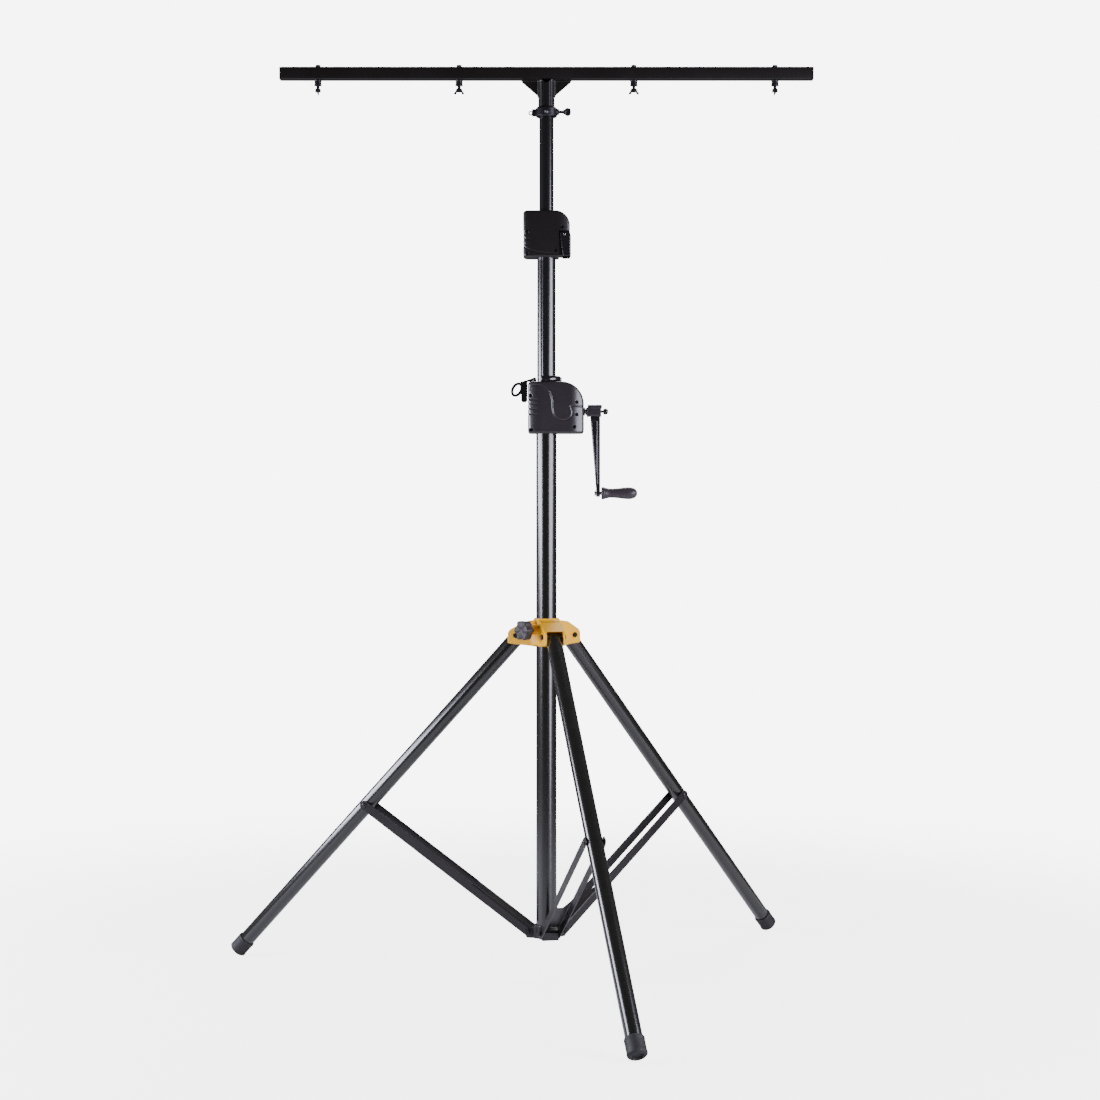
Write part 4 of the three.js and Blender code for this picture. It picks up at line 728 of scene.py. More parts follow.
def across(start, end, radius, name, chamfer=0.5, segments=28):
    """A pin that lies along Y."""
    profile = [(0, start), (radius, start), (radius, end), (0, end)]
    return lathe(name, rounded(profile, chamfer), segments, axis="Y")


def hex_outline(radius, turn=0):
    return [
        (radius * math.cos(math.radians(a + turn)), radius * math.sin(math.radians(a + turn)))
        for a in range(0, 360, 60)
    ]


def knuckle_field(x, y, z):
    """The leg's top: an eye for the hinge bolt, a neck and a plug driven into the tube."""
    eye = rod_field(x, z, y, 11, -19, 19, 0.8)
    neck = crossed(polygon_field(x, z, [(-11, 0), (-15.5, -14), (15.5, -14), (11, 0)]), slab(y, -17, 17), 1)
    plug = rod_field(x, y, z, 16.7, -30, -10, 1)
    whole = soft_min(soft_min(eye, neck, 3), plug, 2)
    return sharp_max(whole, 4.35 - np.hypot(x, z))


def make_leg(side, knuckle):
    end = -LEG_LENGTH + 9.3
    profile = [
        (LEG_RADIUS - 2, end),
        (LEG_RADIUS, end),
        (LEG_RADIUS, -12),
        (LEG_RADIUS - 2, -12),
    ]
    wall = lathe("wall", rounded(profile, 0.6, closed=True), 64, closed=True)
    spacers = []
    for way in (-1, 1):
        spacer = across(18, 20.7, 6, "spacer")
        place(spacer, shift(0, 0, -BRACE_DOWN_LEG) @ spin(90 - 90 * way, "Z"))
        spacers.append(spacer)
    leg = joined(f"leg_skin_{side}", [copied("knuckle", knuckle), wall, *spacers])
    place(leg, leg_place(side))
    return dress(leg, f"leg_{side}", coat, [f"leg_tube_{side}"])


def make_foot(side):
    """A rubber cap with a hollow end and a small lip where it grips the tube."""
    end = -LEG_LENGTH
    profile = [
        (0, end + 3),
        (12, end + 3),
        (12, end),
        (18.5, end),
        (22.5, end + 4),
        (22.5, end + 9),
        (22.0, end + 11),
        (22.0, end + 34),
        (22.5, end + 36),
        (22.5, end + 39),
        (21.4, end + 42),
        (LEG_RADIUS + 0.15, end + 42),
        (LEG_RADIUS + 0.15, end + 9),
        (0, end + 9),
    ]
    foot = lathe(f"foot_{side}", rounded(profile, 1.0), 56)
    place(foot, leg_place(side))
    return dress(foot, f"leg_{side}", foot_rubber, [f"foot_cap_{side}"])


knuckle_master = moulding("knuckle_master", knuckle_field, (-17, -19.5, -31), (17, 19.5, 12), 1.0, keep=0.5)
for leg_side in BEARINGS:
    make_leg(leg_side, knuckle_master)
    make_foot(leg_side)
bpy.data.objects.remove(knuckle_master)

# %% [markdown]
# ## The braces
#
# A brace is a strip of steel pressed into a shallow channel, with two flanges that straddle the leg and a
# web between them that faces the mast. The web stops short in a notch, so that the leg can lie down into
# the channel when the stand folds. A press leaves a round corner between web and flange, so the three
# walls are fields that run together. One pressing is made and placed three times.

# %% Braces
BRACE_LENGTH = 516.0
BRACE_TILT = 55.924
BRACE_FOOT_RADIUS = 40
BRACE_FOOT_HEIGHT = 110
FLANGE_OUTER = 23.5
FLANGE_INNER = 21.0
FLANGE_HALF = 11.5


def brace_place(side):
    """From a brace standing up at the origin to its place on the stand."""
    pin = shift(BRACE_FOOT_RADIUS, 0, BRACE_FOOT_HEIGHT)
    return spin(BEARINGS[side], "Z") @ pin @ spin(BRACE_TILT, "Y")


def brace_field(x, y, z):
    strip = np.hypot(x, z - np.clip(z, 0, BRACE_LENGTH)) - FLANGE_HALF
    flanges = crossed(strip, slab(np.abs(y), FLANGE_INNER, FLANGE_OUTER), 0.6)
    notch = [(-23.5, 20), (23.5, 20), (23.5, 175), (21, 175), (6, 130), (-6, 130), (-21, 175), (-23.5, 175)]
    web = crossed(polygon_field(y, z, notch), slab(x, -FLANGE_HALF, -FLANGE_HALF + 2.5), 0.6)
    whole = soft_min(flanges, web, 2.5)
    corner = np.hypot(np.maximum(np.abs(y) - 20, 0), np.maximum(-x - 8, 0)) - 3.5
    whole = sharp_max(whole, np.where(z < 178, corner, -1))
    return sharp_max(whole, 4.3 - np.hypot(x, z))


low_box, high_box = (-12, -24, -12), (12, 24, BRACE_LENGTH + 12)
pressing = moulding("pressing", brace_field, low_box, high_box, cell=1.1, keep=0.25)
for leg_side in BEARINGS:
    brace = copied(f"brace_pressing_{leg_side}", pressing)
    rivets = []
    for end in (-1, 1):
        dome = [(0, 0), (6.5, 0), (6.3, 1.4), (5.2, 2.4), (3, 2.95), (0, 3.0)]
        rivet = lathe("rivet", dome, 28)
        place(rivet, shift(0, end * FLANGE_OUTER, BRACE_LENGTH) @ spin(-90 * end, "X"))
        rivets.append(rivet)
    whole = joined(f"brace_channel_{leg_side}", [brace, *rivets])
    place(whole, brace_place(leg_side))
    dress(whole, f"strut_{leg_side}", brace_coat, [f"brace_{leg_side}"])
bpy.data.objects.remove(pressing)
print("braces placed")

# %% [markdown]
# ## Bolts
#
# The hinge bolts and brace pins are dark plated steel: a plain shank with a six-sided head at one end
# and a nut at the other. Threads show only elsewhere, on the knob's stud, the thumb screw and the lamp
# bolts. `threaded` cuts them as rings in place of a helix: at this size they look the same, and a lathe
# makes rings in one step.

# %% Bolts
THREAD_PITCH = 1.25


def threaded(radius, low, high, pitch=THREAD_PITCH, name="thread", segments=28):
    profile = [(0, low), (radius - 0.5, low)]
    height = low
    while height + pitch <= high + 1e-6:
        profile += [(radius, height + pitch * 0.45), (radius - 0.5, height + pitch)]
        height += pitch
    profile += [(radius - 0.9, high), (0, high)]
    return lathe(name, profile, segments)


def hex_head(radius, low, high, name="head"):
    """Six flats, a little smaller at both ends, as a forged head is."""
    work = bmesh.new()
    rows = [(low, radius * 0.94), (low + 0.35, radius), (high - 0.7, radius), (high, radius * 0.86)]
    rings = []
    for height, size in rows:
        corners = hex_outline(size, 30)
        rings.append([work.verts.new((a * MM, b * MM, height * MM)) for a, b in corners])
    for under, over in zip(rings, rings[1:]):
        for k in range(6):
            n = (k + 1) % 6
            work.faces.new((under[k], under[n], over[n], over[k]))
    work.faces.new(rings[0][::-1])
    work.faces.new(rings[-1])
    mesh = bpy.data.meshes.new(name)
    work.to_mesh(mesh)
    work.free()
    piece = bpy.data.objects.new(name, mesh)
    bpy.context.scene.collection.objects.link(piece)
    return piece


def cross_bolt(name, body, outer, matrix, replaced):
    """A bolt across two cheeks: head on one side, nut on the other."""
    shank = lathe("shank", [(0, -outer - 1), (4, -outer - 1), (4, outer + 1), (0, outer + 1)], 28)
    head = hex_head(6.5, outer + 0.3, outer + 5.3)
    nut = hex_head(6.5, -outer - 5.3, -outer - 0.3, "nut")
    bolt = joined(name, [shank, head, nut])
    place(bolt, matrix @ spin(90, "X"))
    return dress(bolt, body, plated_dark, [replaced])


plated_dark = (finish("plated_dark", linear("262427"), 0.33, FINE, 0.1, metal=0.5, dust=0.05), "zinc")
for leg_side, bearing in BEARINGS.items():
    turn = spin(bearing, "Z")
    hinge = turn @ shift(HINGE_RADIUS, 0, HINGE_HEIGHT)
    cross_bolt(f"hinge_bolt_{leg_side}", "collar", 25.5, hinge, f"leg_hinge_bolt_{leg_side}")
    pin = turn @ shift(BRACE_FOOT_RADIUS, 0, BRACE_FOOT_HEIGHT)
    cross_bolt(f"foot_pin_{leg_side}", "base", 23.5, pin, f"brace_pin_{leg_side}")
print("bolts placed")

# %% [markdown]
# ## The base bracket
#
# The main tube stands in a cast cup with three lugs, one for each brace. A casting has soft fillets
# between the lugs and the cup, so the lugs run into it with a smooth join.

# %% Base bracket
MAIN_RADIUS = 25


def base_bracket_field(x, y, z):
    radius = np.hypot(x, y)
    whole = crossed(radius - 29.3, slab(z, 94, 126), 1.2)
    lug_side = [(20, 94), (44, 94), (47, 98), (47, 113), (42, 119), (20, 124)]
    for bearing in BEARINGS.values():
        u, v = turned_to(x, y, bearing)
        lug = crossed(polygon_field(u, z, lug_side), slab(v, -20.7, 20.7), 1.5)
        whole = soft_min(whole, lug, 4)
    for bearing in BEARINGS.values():
        u, v = turned_to(x, y, bearing)
        pin = np.where(u > 0, np.hypot(u - BRACE_FOOT_RADIUS, z - BRACE_FOOT_HEIGHT), 99)
        whole = sharp_max(whole, 4.4 - pin)
    bore = crossed(radius - MAIN_RADIUS - 0.3, slab(z, 98.7, 140))
    return sharp_max(whole, -bore)


bracket = moulding("base_casting", base_bracket_field, (-50, -50, 94), (50, 50, 126), 1.0, keep=0.6)
dress(bracket, "base", brace_coat, ["base_bracket"])
print("base bracket size", [round(v * 1000, 1) for v in bracket.dimensions])

# %% [markdown]
# ## The leg collar
#
# The bright collar slides on the main tube and carries the three legs. It is an injection moulding: a
# band with a rolled lip, a hollow shoulder, a flared skirt, and three arms whose cheeks hold the hinge
# bolts. Each arm is slotted for its leg. A boss on one side takes the stud of the star knob.

# %% Leg collar
KNOB_BEARING = -136.8
KNOB_HEIGHT = 845


def leg_collar_field(x, y, z):
    radius = np.hypot(x, y)
    turned = [(-5, 808), (34.5, 808), (35.5, 812), (35.5, 845), (31, 850), (28.8, 856)]
    turned += [(28.0, 862), (29.6, 868), (29.6, 872), (-5, 872)]
    whole = polygon_field(radius, z, turned) - 0.2
    arm_side = [(20, 804), (89, 810), (92, 813), (92, 835.8)]
    arm_side += [(87, 843.8), (76, 849.8), (50, 864), (20, 868)]
    for bearing in BEARINGS.values():
        u, v = turned_to(x, y, bearing)
        arm = crossed(polygon_field(u, z, arm_side), slab(v, -25.5, 25.5), 3.2)
        whole = soft_min(whole, arm, 7)
    u, v = turned_to(x, y, KNOB_BEARING)
    boss = rod_field(v, z - KNOB_HEIGHT, u, 12, 15, 55, 1.5)
    whole = soft_min(whole, boss, 6)
    stud = np.where(u > 0, np.hypot(v, z - KNOB_HEIGHT), 99)
    whole = sharp_max(whole, 5.5 - stud)
    for bearing in BEARINGS.values():
        u, v = turned_to(x, y, bearing)
        slot = block_field(u, v, z, (47, -20.3, 790), (110, 20.3, 843.8), 1.0)
        whole = sharp_max(whole, -slot)
        bolt = np.where(u > 0, np.hypot(u - HINGE_RADIUS, z - HINGE_HEIGHT), 99)
        whole = sharp_max(whole, 4.4 - bolt)
    return soft_max(whole, MAIN_RADIUS + 0.5 - radius, 0.8)


collar = moulding("leg_collar_moulding", leg_collar_field, (-95, -95, 803), (95, 95, 873), 0.9, keep=0.5)
dress(collar, "collar", yellow_plastic, ["leg_collar"])

# %% [markdown]
# ## The star knob
#
# A hand-sized knob of six lobes clamps the collar to the tube. Its face is faceted: a valley runs in
# from between each pair of lobes, and the middle is dished. Its neck takes the threaded stud.

# %% Star knob
def star_knob_field(along, b, c):
    radius, angle = np.hypot(b, c), np.arctan2(c, b)
    lobes = 23.2 + 1.8 * np.cos(6 * angle)
    body = radius - lobes + 3 * (1 - ramp(along, 61.3, 69))
    valley = 2.6 * (0.5 - 0.5 * np.cos(6 * angle)) * np.clip(radius / 22, 0, 1) + 2.4 * bell(radius, 11)
    face = along - 85.3 + valley
    star = crossed(crossed(0.85 * body, 0.85 * face, 2.2), 61.3 - along, 1.2)
    neck = rod_field(b, c, along, 10, 55.4, 66, 0.8)
    whole = soft_min(star, neck, 3)
    return sharp_max(whole, -rod_field(b, c, along, 5.4, 40, 64.3))


knob = moulding("star_knob", star_knob_field, (55, -25, -25), (86, 25, 25), 0.8, keep=0.6)
knob_place = spin(KNOB_BEARING, "Z") @ shift(0, 0, KNOB_HEIGHT)
place(knob, knob_place)
dress(knob, "collar_screw", knob_plastic, ["collar_knob"])
stud = threaded(5, 25.3, 64, 1.5, "knob_stud")
place(stud, knob_place @ spin(90, "Y"))
dress(stud, "collar_screw", plated, ["collar_stud"])

# %% [markdown]
# ## The mast
#
# Three tubes slide in each other. The outer tube has a window where the gear reaches through it, and the
# middle tube is its own rack: a column of punched slots that the pinion's teeth enter. Both are drawn as
# a grid of columns and rows, where the cells of a slot are left out and its rim is closed, so that the
# slots are real. A shallow drawn groove runs down the middle tube, which keeps it from turning.

# %% Slotted tube
def slotted_tube(name, inner, outer, low, high, windows, half_width, groove=None, columns=64):
    """windows are (low, high) heights on the +X side, each half_width to either side of it."""
    edge = math.asin(half_width / outer)
    spread = [2 * math.pi * k / columns for k in range(columns)]
    angles = [a for a in spread if min(a, 2 * math.pi - a) > edge + 0.02]
    angles += [edge, -edge % (2 * math.pi)]
    if groove is not None:
        angles = [a for a in angles if abs(a - groove) > 0.09]
        angles += [groove - 0.06, groove - 0.025, groove + 0.025, groove + 0.06]
    angles.sort()
    heights = sorted({low, low + 0.6, high - 0.6, high, *[h for pair in windows for h in pair]})
    gaps = {pair[0] for pair in windows}
    count, rows = len(angles), len(heights)
    points, faces = [], []
    for wall in (0, 1):
        for row, height in enumerate(heights):
            for angle in angles:
                radius = outer if wall else inner
                if wall and row in (0, rows - 1):
                    radius -= 0.6
                if wall and groove is not None and abs(angle - groove) < 0.04:
                    radius -= 0.5
                points.append((radius * math.cos(angle), radius * math.sin(angle), height))

    def at(wall, row, column):
        return (wall * rows + row) * count + column % count

    window_column = count - 1

    def is_open(row, column):
        return 0 <= row < rows - 1 and column % count == window_column and heights[row] in gaps

    for row in range(rows - 1):
        for column in range(count):
            if is_open(row, column):
                continue
            n = column + 1
            faces.append((at(1, row, column), at(1, row, n), at(1, row + 1, n), at(1, row + 1, column)))
            faces.append((at(0, row, n), at(0, row, column), at(0, row + 1, column), at(0, row + 1, n)))
            if is_open(row, n):
                faces.append((at(1, row, n), at(0, row, n), at(0, row + 1, n), at(1, row + 1, n)))
            if is_open(row, column - 1):
                near, far = at(0, row, column), at(1, row, column)
                faces.append((near, far, at(1, row + 1, column), at(0, row + 1, column)))
            if is_open(row + 1, column) or row == rows - 2:
                rim = (at(1, row + 1, column), at(1, row + 1, n), at(0, row + 1, n), at(0, row + 1, column))
                faces.append(rim)
            if is_open(row - 1, column) or row == 0:
                faces.append((at(0, row, column), at(0, row, n), at(1, row, n), at(1, row, column)))
    return mesh_piece(name, points, faces)


print("slotted tube ready")

# %% [markdown]
# ## The three tubes
#
# The outer tube stands in the base, the middle one rides on the gear, and the top one is locked by the
# upper case. Each is drawn at the height where the stand shows it, with a stretch hidden in the tube
# below. The top tube has no slots, so a plain turned tube will do.

# %% Mast tubes
GEAR_HEIGHT = 1400
RACK_PITCH = 10
SLOT_HALF = 3
GEAR_WINDOW = (GEAR_HEIGHT - 26, GEAR_HEIGHT + 26)
GROOVE_BEARING = 360 - 118.7
rack = []
for step in range(-64, 32):
    slot_middle = GEAR_HEIGHT + RACK_PITCH * step
    rack.append((slot_middle - SLOT_HALF, slot_middle + SLOT_HALF))
main = slotted_tube("mast_outer", 23, MAIN_RADIUS, 99, 1440, [GEAR_WINDOW], 5.0)
dress(main, "base", coat, ["main_tube"])
groove_angle = math.radians(GROOVE_BEARING)
middle = slotted_tube("mast_middle", 20, 22.5, 410, 1800, rack, 3.1, groove=groove_angle)
dress(middle, "middle_mast", sliding_coat, ["mast_tube_mid"])
top = tube("mast_top", 15.5, 17.5, 690, 2176)
dress(top, "upper_mast", sliding_coat, ["mast_tube_top"])
print("mast rows:", len(rack), "slots")

# %% [markdown]
# ## The crank case
#
# The case holds the worm and its wheel. It is two mouldings that meet in the middle, so a fine seam runs
# round it. Seen from the front it is square-shouldered at the left and has one big round shoulder at the
# right, round the wheel. The face falls back a little at its sides. A groove follows the shoulder and
# turns down into a hook beside the wheel. Five screws sit in deep recesses, and grip grooves cross the
# left edge. It is hollow, three millimetres thick, so the tubes and gears inside have their room.

# %% Crank case
CASE_LOW, CASE_HIGH = (-45, 1321.5), (91, 1447.6)
CASE_CORNERS = (6, 6, 55, 9)
CASE_SCREWS = [(73.4, 1397.3), (73.4, 1367.5), (67, 1337.5), (-38.5, 1413), (-37, 1330)]
CASE_GRIPS = (1368, 1381.5, 1393, 1404)
LEVER_X, LEVER_Z = -29, 1453
SHOULDER_GROOVE = [(-40, 1428), (-34.7, 1437.2), (-20, 1438.5), (-7.4, 1435), (7.2, 1422.5)]
SHOULDER_GROOVE = curve_through(SHOULDER_GROOVE, 6)
HOOK_GROOVE = [(7.2, 1422.5), (13.5, 1403.6), (15.7, 1376.3), (24, 1359.5), (40.8, 1353.2)]
HOOK_GROOVE += [(57.6, 1359.5), (62.9, 1372), (60, 1383), (61, 1388.5), (91, 1386)]
HOOK_GROOVE = curve_through(HOOK_GROOVE, 6)


def case_crown(x):
    """How far the face falls back from its flat middle towards the sides."""
    return 10 * np.clip((np.abs(x - 21) - 36) / 32, 0, 1) ** 2


def case_relief(x, y, z):
    """The seam round the edge, and the hook and grip grooves pressed into the front face."""
    shoulder = bell(polyline_distance(x, z, SHOULDER_GROOVE), 2.4)
    hook = bell(polyline_distance(x, z, HOOK_GROOVE), 2.6)
    grips = sum(bell(z - height, 1.9) for height in CASE_GRIPS) * (1 - ramp(x, -26, -17))
    return np.where(y < -20, 1.0 * shoulder + 1.3 * hook + 1.3 * grips, 0.7 * bell(y, 1.3))


def case_field(x, y, z):
    outline = rounded_box_outline(x, z, CASE_LOW, CASE_HIGH, CASE_CORNERS)
    outer = crossed(outline, np.abs(y) - 37.5 + case_crown(x), 6)
    inner = crossed(outline + 3, np.abs(y) - 34.0 + case_crown(x), 3)
    whole = sharp_max(outer, -inner)
    for sx, sz in CASE_SCREWS:
        seat = -32.5 + case_crown(sx)
        whole = np.minimum(whole, rod_field(x - sx, z - sz, y, 5.6, seat - 3, seat + 4))
        whole = sharp_max(whole, -rod_field(x - sx, z - sz, y, 4.1, -45, seat))
    ear_side = [(-34.5, 1445), (-25.6, 1445), (-24, 1449), (-23.5, 1453), (-34.5, 1453)]
    ears = np.minimum(polygon_field(x, z, ear_side), np.hypot(x - LEVER_X, z - LEVER_Z) - 5.5)
    whole = np.minimum(whole, crossed(ears, slab(np.abs(y), 3.8, 7.8), 0.8))
    whole = sharp_max(whole, 2.35 - np.hypot(x - LEVER_X, z - LEVER_Z) + np.where(z > 1449.5, 0, -9))
    for height in CASE_GRIPS:
        whole = soft_max(whole, 3.0 - np.hypot(x + 46.6, z - height), 1.2)
    whole = sharp_max(whole, MAIN_RADIUS + 0.3 - np.hypot(x, y))
    bush = np.where(x > 60, np.hypot(y + 14, z - 1375), 99)
    whole = soft_max(whole, 9.1 - bush, 0.8)
    return whole


case = moulding("crank_case", case_field, (-46, -38, 1321), (92, 38, 1459), 0.9, case_relief, keep=0.5)
dress(case, "base", case_plastic, ["crank_housing_front", "crank_housing_rear"])


# %% [markdown]
# ## Small screws
#
# Each case screw is a pan head with a crossed recess, sunk at the bottom of its hole. The CAD has no
# case screws, so these replace nothing in it. One head is moulded on a fine grid and copied, which keeps
# the crossed recess crisp without making the whole case that fine.

# %% Case screws
def screw_field(x, y, z):
    """A screw head that looks along -Y, its seat at y = 0."""
    dome = crossed(np.hypot(x, z) - 3.6, slab(y, -2.4, 0), 1.1)
    upright = crossed(slab(x, -0.55, 0.55), slab(z, -2.2, 2.2))
    level = crossed(slab(z, -0.55, 0.55), slab(x, -2.2, 2.2))
    return sharp_max(dome, -crossed(np.minimum(upright, level), slab(y, -4, -1.1)))


screw_master = moulding("screw_master", screw_field, (-4, -3, -4), (4, 0.2, 4), 0.28, keep=0.6)


def sink_screws(name, body, seats):
    """seats are (x, y, z) points; the head looks to the front."""
    heads = [place(copied("head", screw_master), shift(*seat)) for seat in seats]
    whole = joined(name, heads)
    return dress(whole, body, dark_steel)


case_seats = [(x, -32.4 + case_crown(x), z) for x, z in CASE_SCREWS]
sink_screws("crank_case_screws", "base", case_seats)
print("case screws:", len(case_seats))

# %% [markdown]
# ## The guide collar and the lever
#
# A dark collar caps the outer tube and guides the middle one. It is open on the left, where the lock lever
# passes. The lever is one flat moulding: an eye on its pin, a strap over the shoulder of the case, a long
# oval ring for a finger, and a ribbed tab for the thumb.

# %% Guide collar and lock lever
def guide_field(x, y, z):
    radius = np.hypot(x, y)
    flange = [(23, 1447.9), (32, 1447.9), (34.6, 1451), (35, 1456), (32.5, 1461.6), (23, 1461.6)]
    cap = polygon_field(radius, z, flange)
    cap = soft_max(cap, -(x + 13), 1.5)
    lug = block_field(x, y, z, (24, -9, 1448.2), (37.5, 9, 1459), 3)
    cap = soft_min(cap, lug, 3)
    sleeve = crossed(radius - 25.1, slab(z, 1440.3, 1449))
    whole = np.minimum(cap, sharp_max(sleeve, np.minimum(-(x + 13), z - 1447.5)))
    return soft_max(whole, 23.0 - radius, 0.6)


guide = moulding("guide_cap", guide_field, (-36, -36, 1439), (38, 36, 1463), 0.8, keep=0.5)
dress(guide, "base", gloss_plastic, ["guide_collar"])


def lever_field(x, y, z):
    u, v = x - LEVER_X + 43, z - LEVER_Z + 24
    c, s = math.cos(-0.5), math.sin(-0.5)
    a, b = u * c + v * s, v * c - u * s

    def oval(half_a, half_b):
        near = np.hypot(a / half_a, b / half_b)
        slope = np.maximum(np.hypot(a / half_a**2, b / half_b**2), 1e-6)
        return near * (near - 1) / slope

    ring = sharp_max(oval(13.6, 18.8), -oval(6.8, 12.2))
    strap_side = [(-1, -4.2), (-17, -5.2), (-21, -12), (-36, -12)]
    strap_side += [(-34, -5), (-20, -1), (-3, 4.5), (2, 3.5)]
    strap = polygon_field(x - LEVER_X, z - LEVER_Z, strap_side)
    eye = np.hypot(x - LEVER_X, z - LEVER_Z) - 5
    tab = rounded_box_outline(x, z, (-62, 1398), (-46.3, 1445), (6, 6, 3, 3))
    rib = np.abs((z - 1399) % 5 - 2.5)
    tab = tab + np.where(z < 1424, 0.7 * bell(rib, 1.6), 0)
    outline = soft_min(soft_min(soft_min(strap, eye, 3), tab, 3), ring, 2.5)
    outline = sharp_max(outline, -oval(6.4, 11.9))
    whole = crossed(outline, np.abs(y) - 3.5, 1.5)
    return sharp_max(whole, 2.35 - np.hypot(x - LEVER_X, z - LEVER_Z))


lever = moulding("finger_lever", lever_field, (-90, -4, 1397), (-23, 4, 1459), 0.6, keep=0.6)
dress(lever, "locking_lever", gloss_plastic, ["lock_lever"])
lever_pin = across(-8.3, 8.3, 2, "lever_pin")
place(lever_pin, shift(LEVER_X, 0, LEVER_Z))
dress(lever_pin, "base", plated, ["lock_lever_pin"])

# %% [markdown]
# ## The crank
#
# The hub is a clamping block on the shaft's end with a flat cap over it. A tapered arm plugs into the
# hub from below. Its front has a long channel, as a cast arm has to save metal, which leaves a bright
# ridge beside it. At its end a turned grip spins on a spindle.

# %% Crank hub and arm
SHAFT_Y, SHAFT_Z = -14, 1375
GRIP_Z = 1176.5


def hub_field(x, y, z):
    block = crossed(rounded_box_outline(y, z, (-26, 1362), (-2, 1384), (6, 6, 3, 3)), slab(x, 98, 133), 1.5)
    cap = block_field(x, y, z, (100, -28, 1383), (135, 0, 1391), 1.6)
    neck = rod_field(y - SHAFT_Y, z - SHAFT_Z, x, 9, 95.5, 100, 0.8)
    whole = soft_min(soft_min(block, cap, 2), neck, 2)
    groove = crossed(slab(x, 104, 105.4), slab(y, -40, -24.9))
    whole = sharp_max(whole, -groove)
    whole = sharp_max(whole, -rod_field(y - SHAFT_Y, z - SHAFT_Z, x, 6.3, 80, 131.5))
    whole = sharp_max(whole, -rod_field(y - SHAFT_Y, z - SHAFT_Z, x, 3.6, 130, 140))
    return sharp_max(whole, -block_field(x, y, z, (108.2, -19.3, 1350), (128.8, -8.7, 1368.3)))


hub = moulding("hub_block", hub_field, (95, -29, 1361), (136, 1, 1392), 0.7, keep=0.6)
dress(hub, "crank", case_plastic, ["crank_hub"])


def arm_field(x, y, z):
    front = [(120.5, 1160), (130.5, 1160), (130.5, 1361.7), (106.5, 1361.7), (120.5, 1186)]
    side = np.hypot(y - SHAFT_Y, z - np.clip(z, GRIP_Z, 1400)) - 9
    side = sharp_max(side, z - 1361.7)
    whole = crossed(polygon_field(x, z, front), side, 1.6)
    channel = block_field(x, y, z, (123.6, -40, 1198), (128.2, -20.6, 1352), 1.2)
    whole = soft_max(whole, -channel, 1.0)
    slope = 120.5 - (z - 1186) * 14 / 175.7
    panel = crossed(crossed(slab(x, slope + 2.2, 121.4), slab(z, 1225, 1352)), slab(y, -40, -22.2), 0.5)
    whole = soft_max(whole, -panel, 0.8)
    tongue = block_field(x, y, z, (108.5, -19, 1356), (128.5, -9, 1368), 0.6)
    whole = np.minimum(whole, tongue)
    return sharp_max(whole, 4.35 - np.hypot(y - SHAFT_Y, z - GRIP_Z))


arm = moulding("arm_casting", arm_field, (106, -24, 1166), (131, -4, 1369), 0.8, keep=0.5)
dress(arm, "crank", gloss_plastic, ["crank_arm"])

# %% [markdown]
# ## The crank's fittings and grip
#
# The clamp knob, the shaft's bush, the spindle and the grip are all turned, and all lie along the shaft.
# So one helper turns a profile, lays it along X and puts it on the right axis. The grip's swelling is a
# smooth curve through a few radii, which is easier to shape than arcs.

# %% Crank fittings and grip
def along_x(name, profile, body, material, replaced, y=SHAFT_Y, z=SHAFT_Z, segments=40, edge=0.6):
    piece = lathe(name, rounded(profile, edge), segments, axis="X")
    place(piece, shift(0, y, z))
    return dress(piece, body, material, replaced)


clamp_knob = [(0, 131.3), (3.2, 131.3), (3.2, 138), (5.5, 138.4)]
clamp_knob += [(7.5, 141), (7.5, 146), (4.5, 150), (0, 150)]
along_x("crank_clamp_knob", clamp_knob, "crank", gloss_plastic, ["crank_clamp_screw"])
bush = [(6.3, 84), (8.7, 84), (8.7, 91.3), (10, 91.3), (10, 94), (6.3, 94), (6.3, 84)]
along_x("shaft_bearing", bush, "base", dark_bronze, ["shaft_bush"], edge=0.4)
spindle = [(0, 116.2), (4.5, 116.2), (6.5, 117.8), (6.5, 119.6), (4, 119.6), (4, 199), (0, 199)]
along_x("spindle_rivet", spindle, "crank", plated, ["grip_spindle"], z=GRIP_Z, edge=0.4)
swelling = [(14.9, 141.5), (12.4, 148), (11.3, 157), (12.2, 173), (14.1, 189)]
swelling += [(14.7, 200), (13.4, 209.5), (10.2, 216), (5, 220.2)]
bulge = curve_through(swelling, 5)
grip_profile = [(0, 200), (4.4, 200), (4.4, 133.5), (13.6, 133.5), (15.2, 135.6), (15.4, 139), (14.9, 141)]
grip_profile += [(13.9, 141.5)] + [(r, h) for r, h in bulge if r < 13.9 or h > 190] + [(0, 221)]
along_x(
    "turned_grip", grip_profile, "hand_grip", grip_plastic, ["crank_grip"], z=GRIP_Z, segments=56, edge=0.5
)
print("crank ready")

# %% [markdown]
# ## The upper case and its trigger
#
# The upper case rides on the middle tube and locks the top one. Its left edge is scalloped for the fingers
# of one hand, and its right corner is cut away for the trigger that the hand squeezes. A groove runs in an
# arc over its foot. It is made as the crank case is, from a field. Inside, a tilting plate and a spring
# grip the top tube. The plate is the CAD's own, and the spring is made further on.

# %% Upper case
UPPER_GRIPS = (1780, 1793, 1806)
UPPER_SCREWS = [(-47, 1810), (-46, 1757), (38, 1822), (22, 1764)]


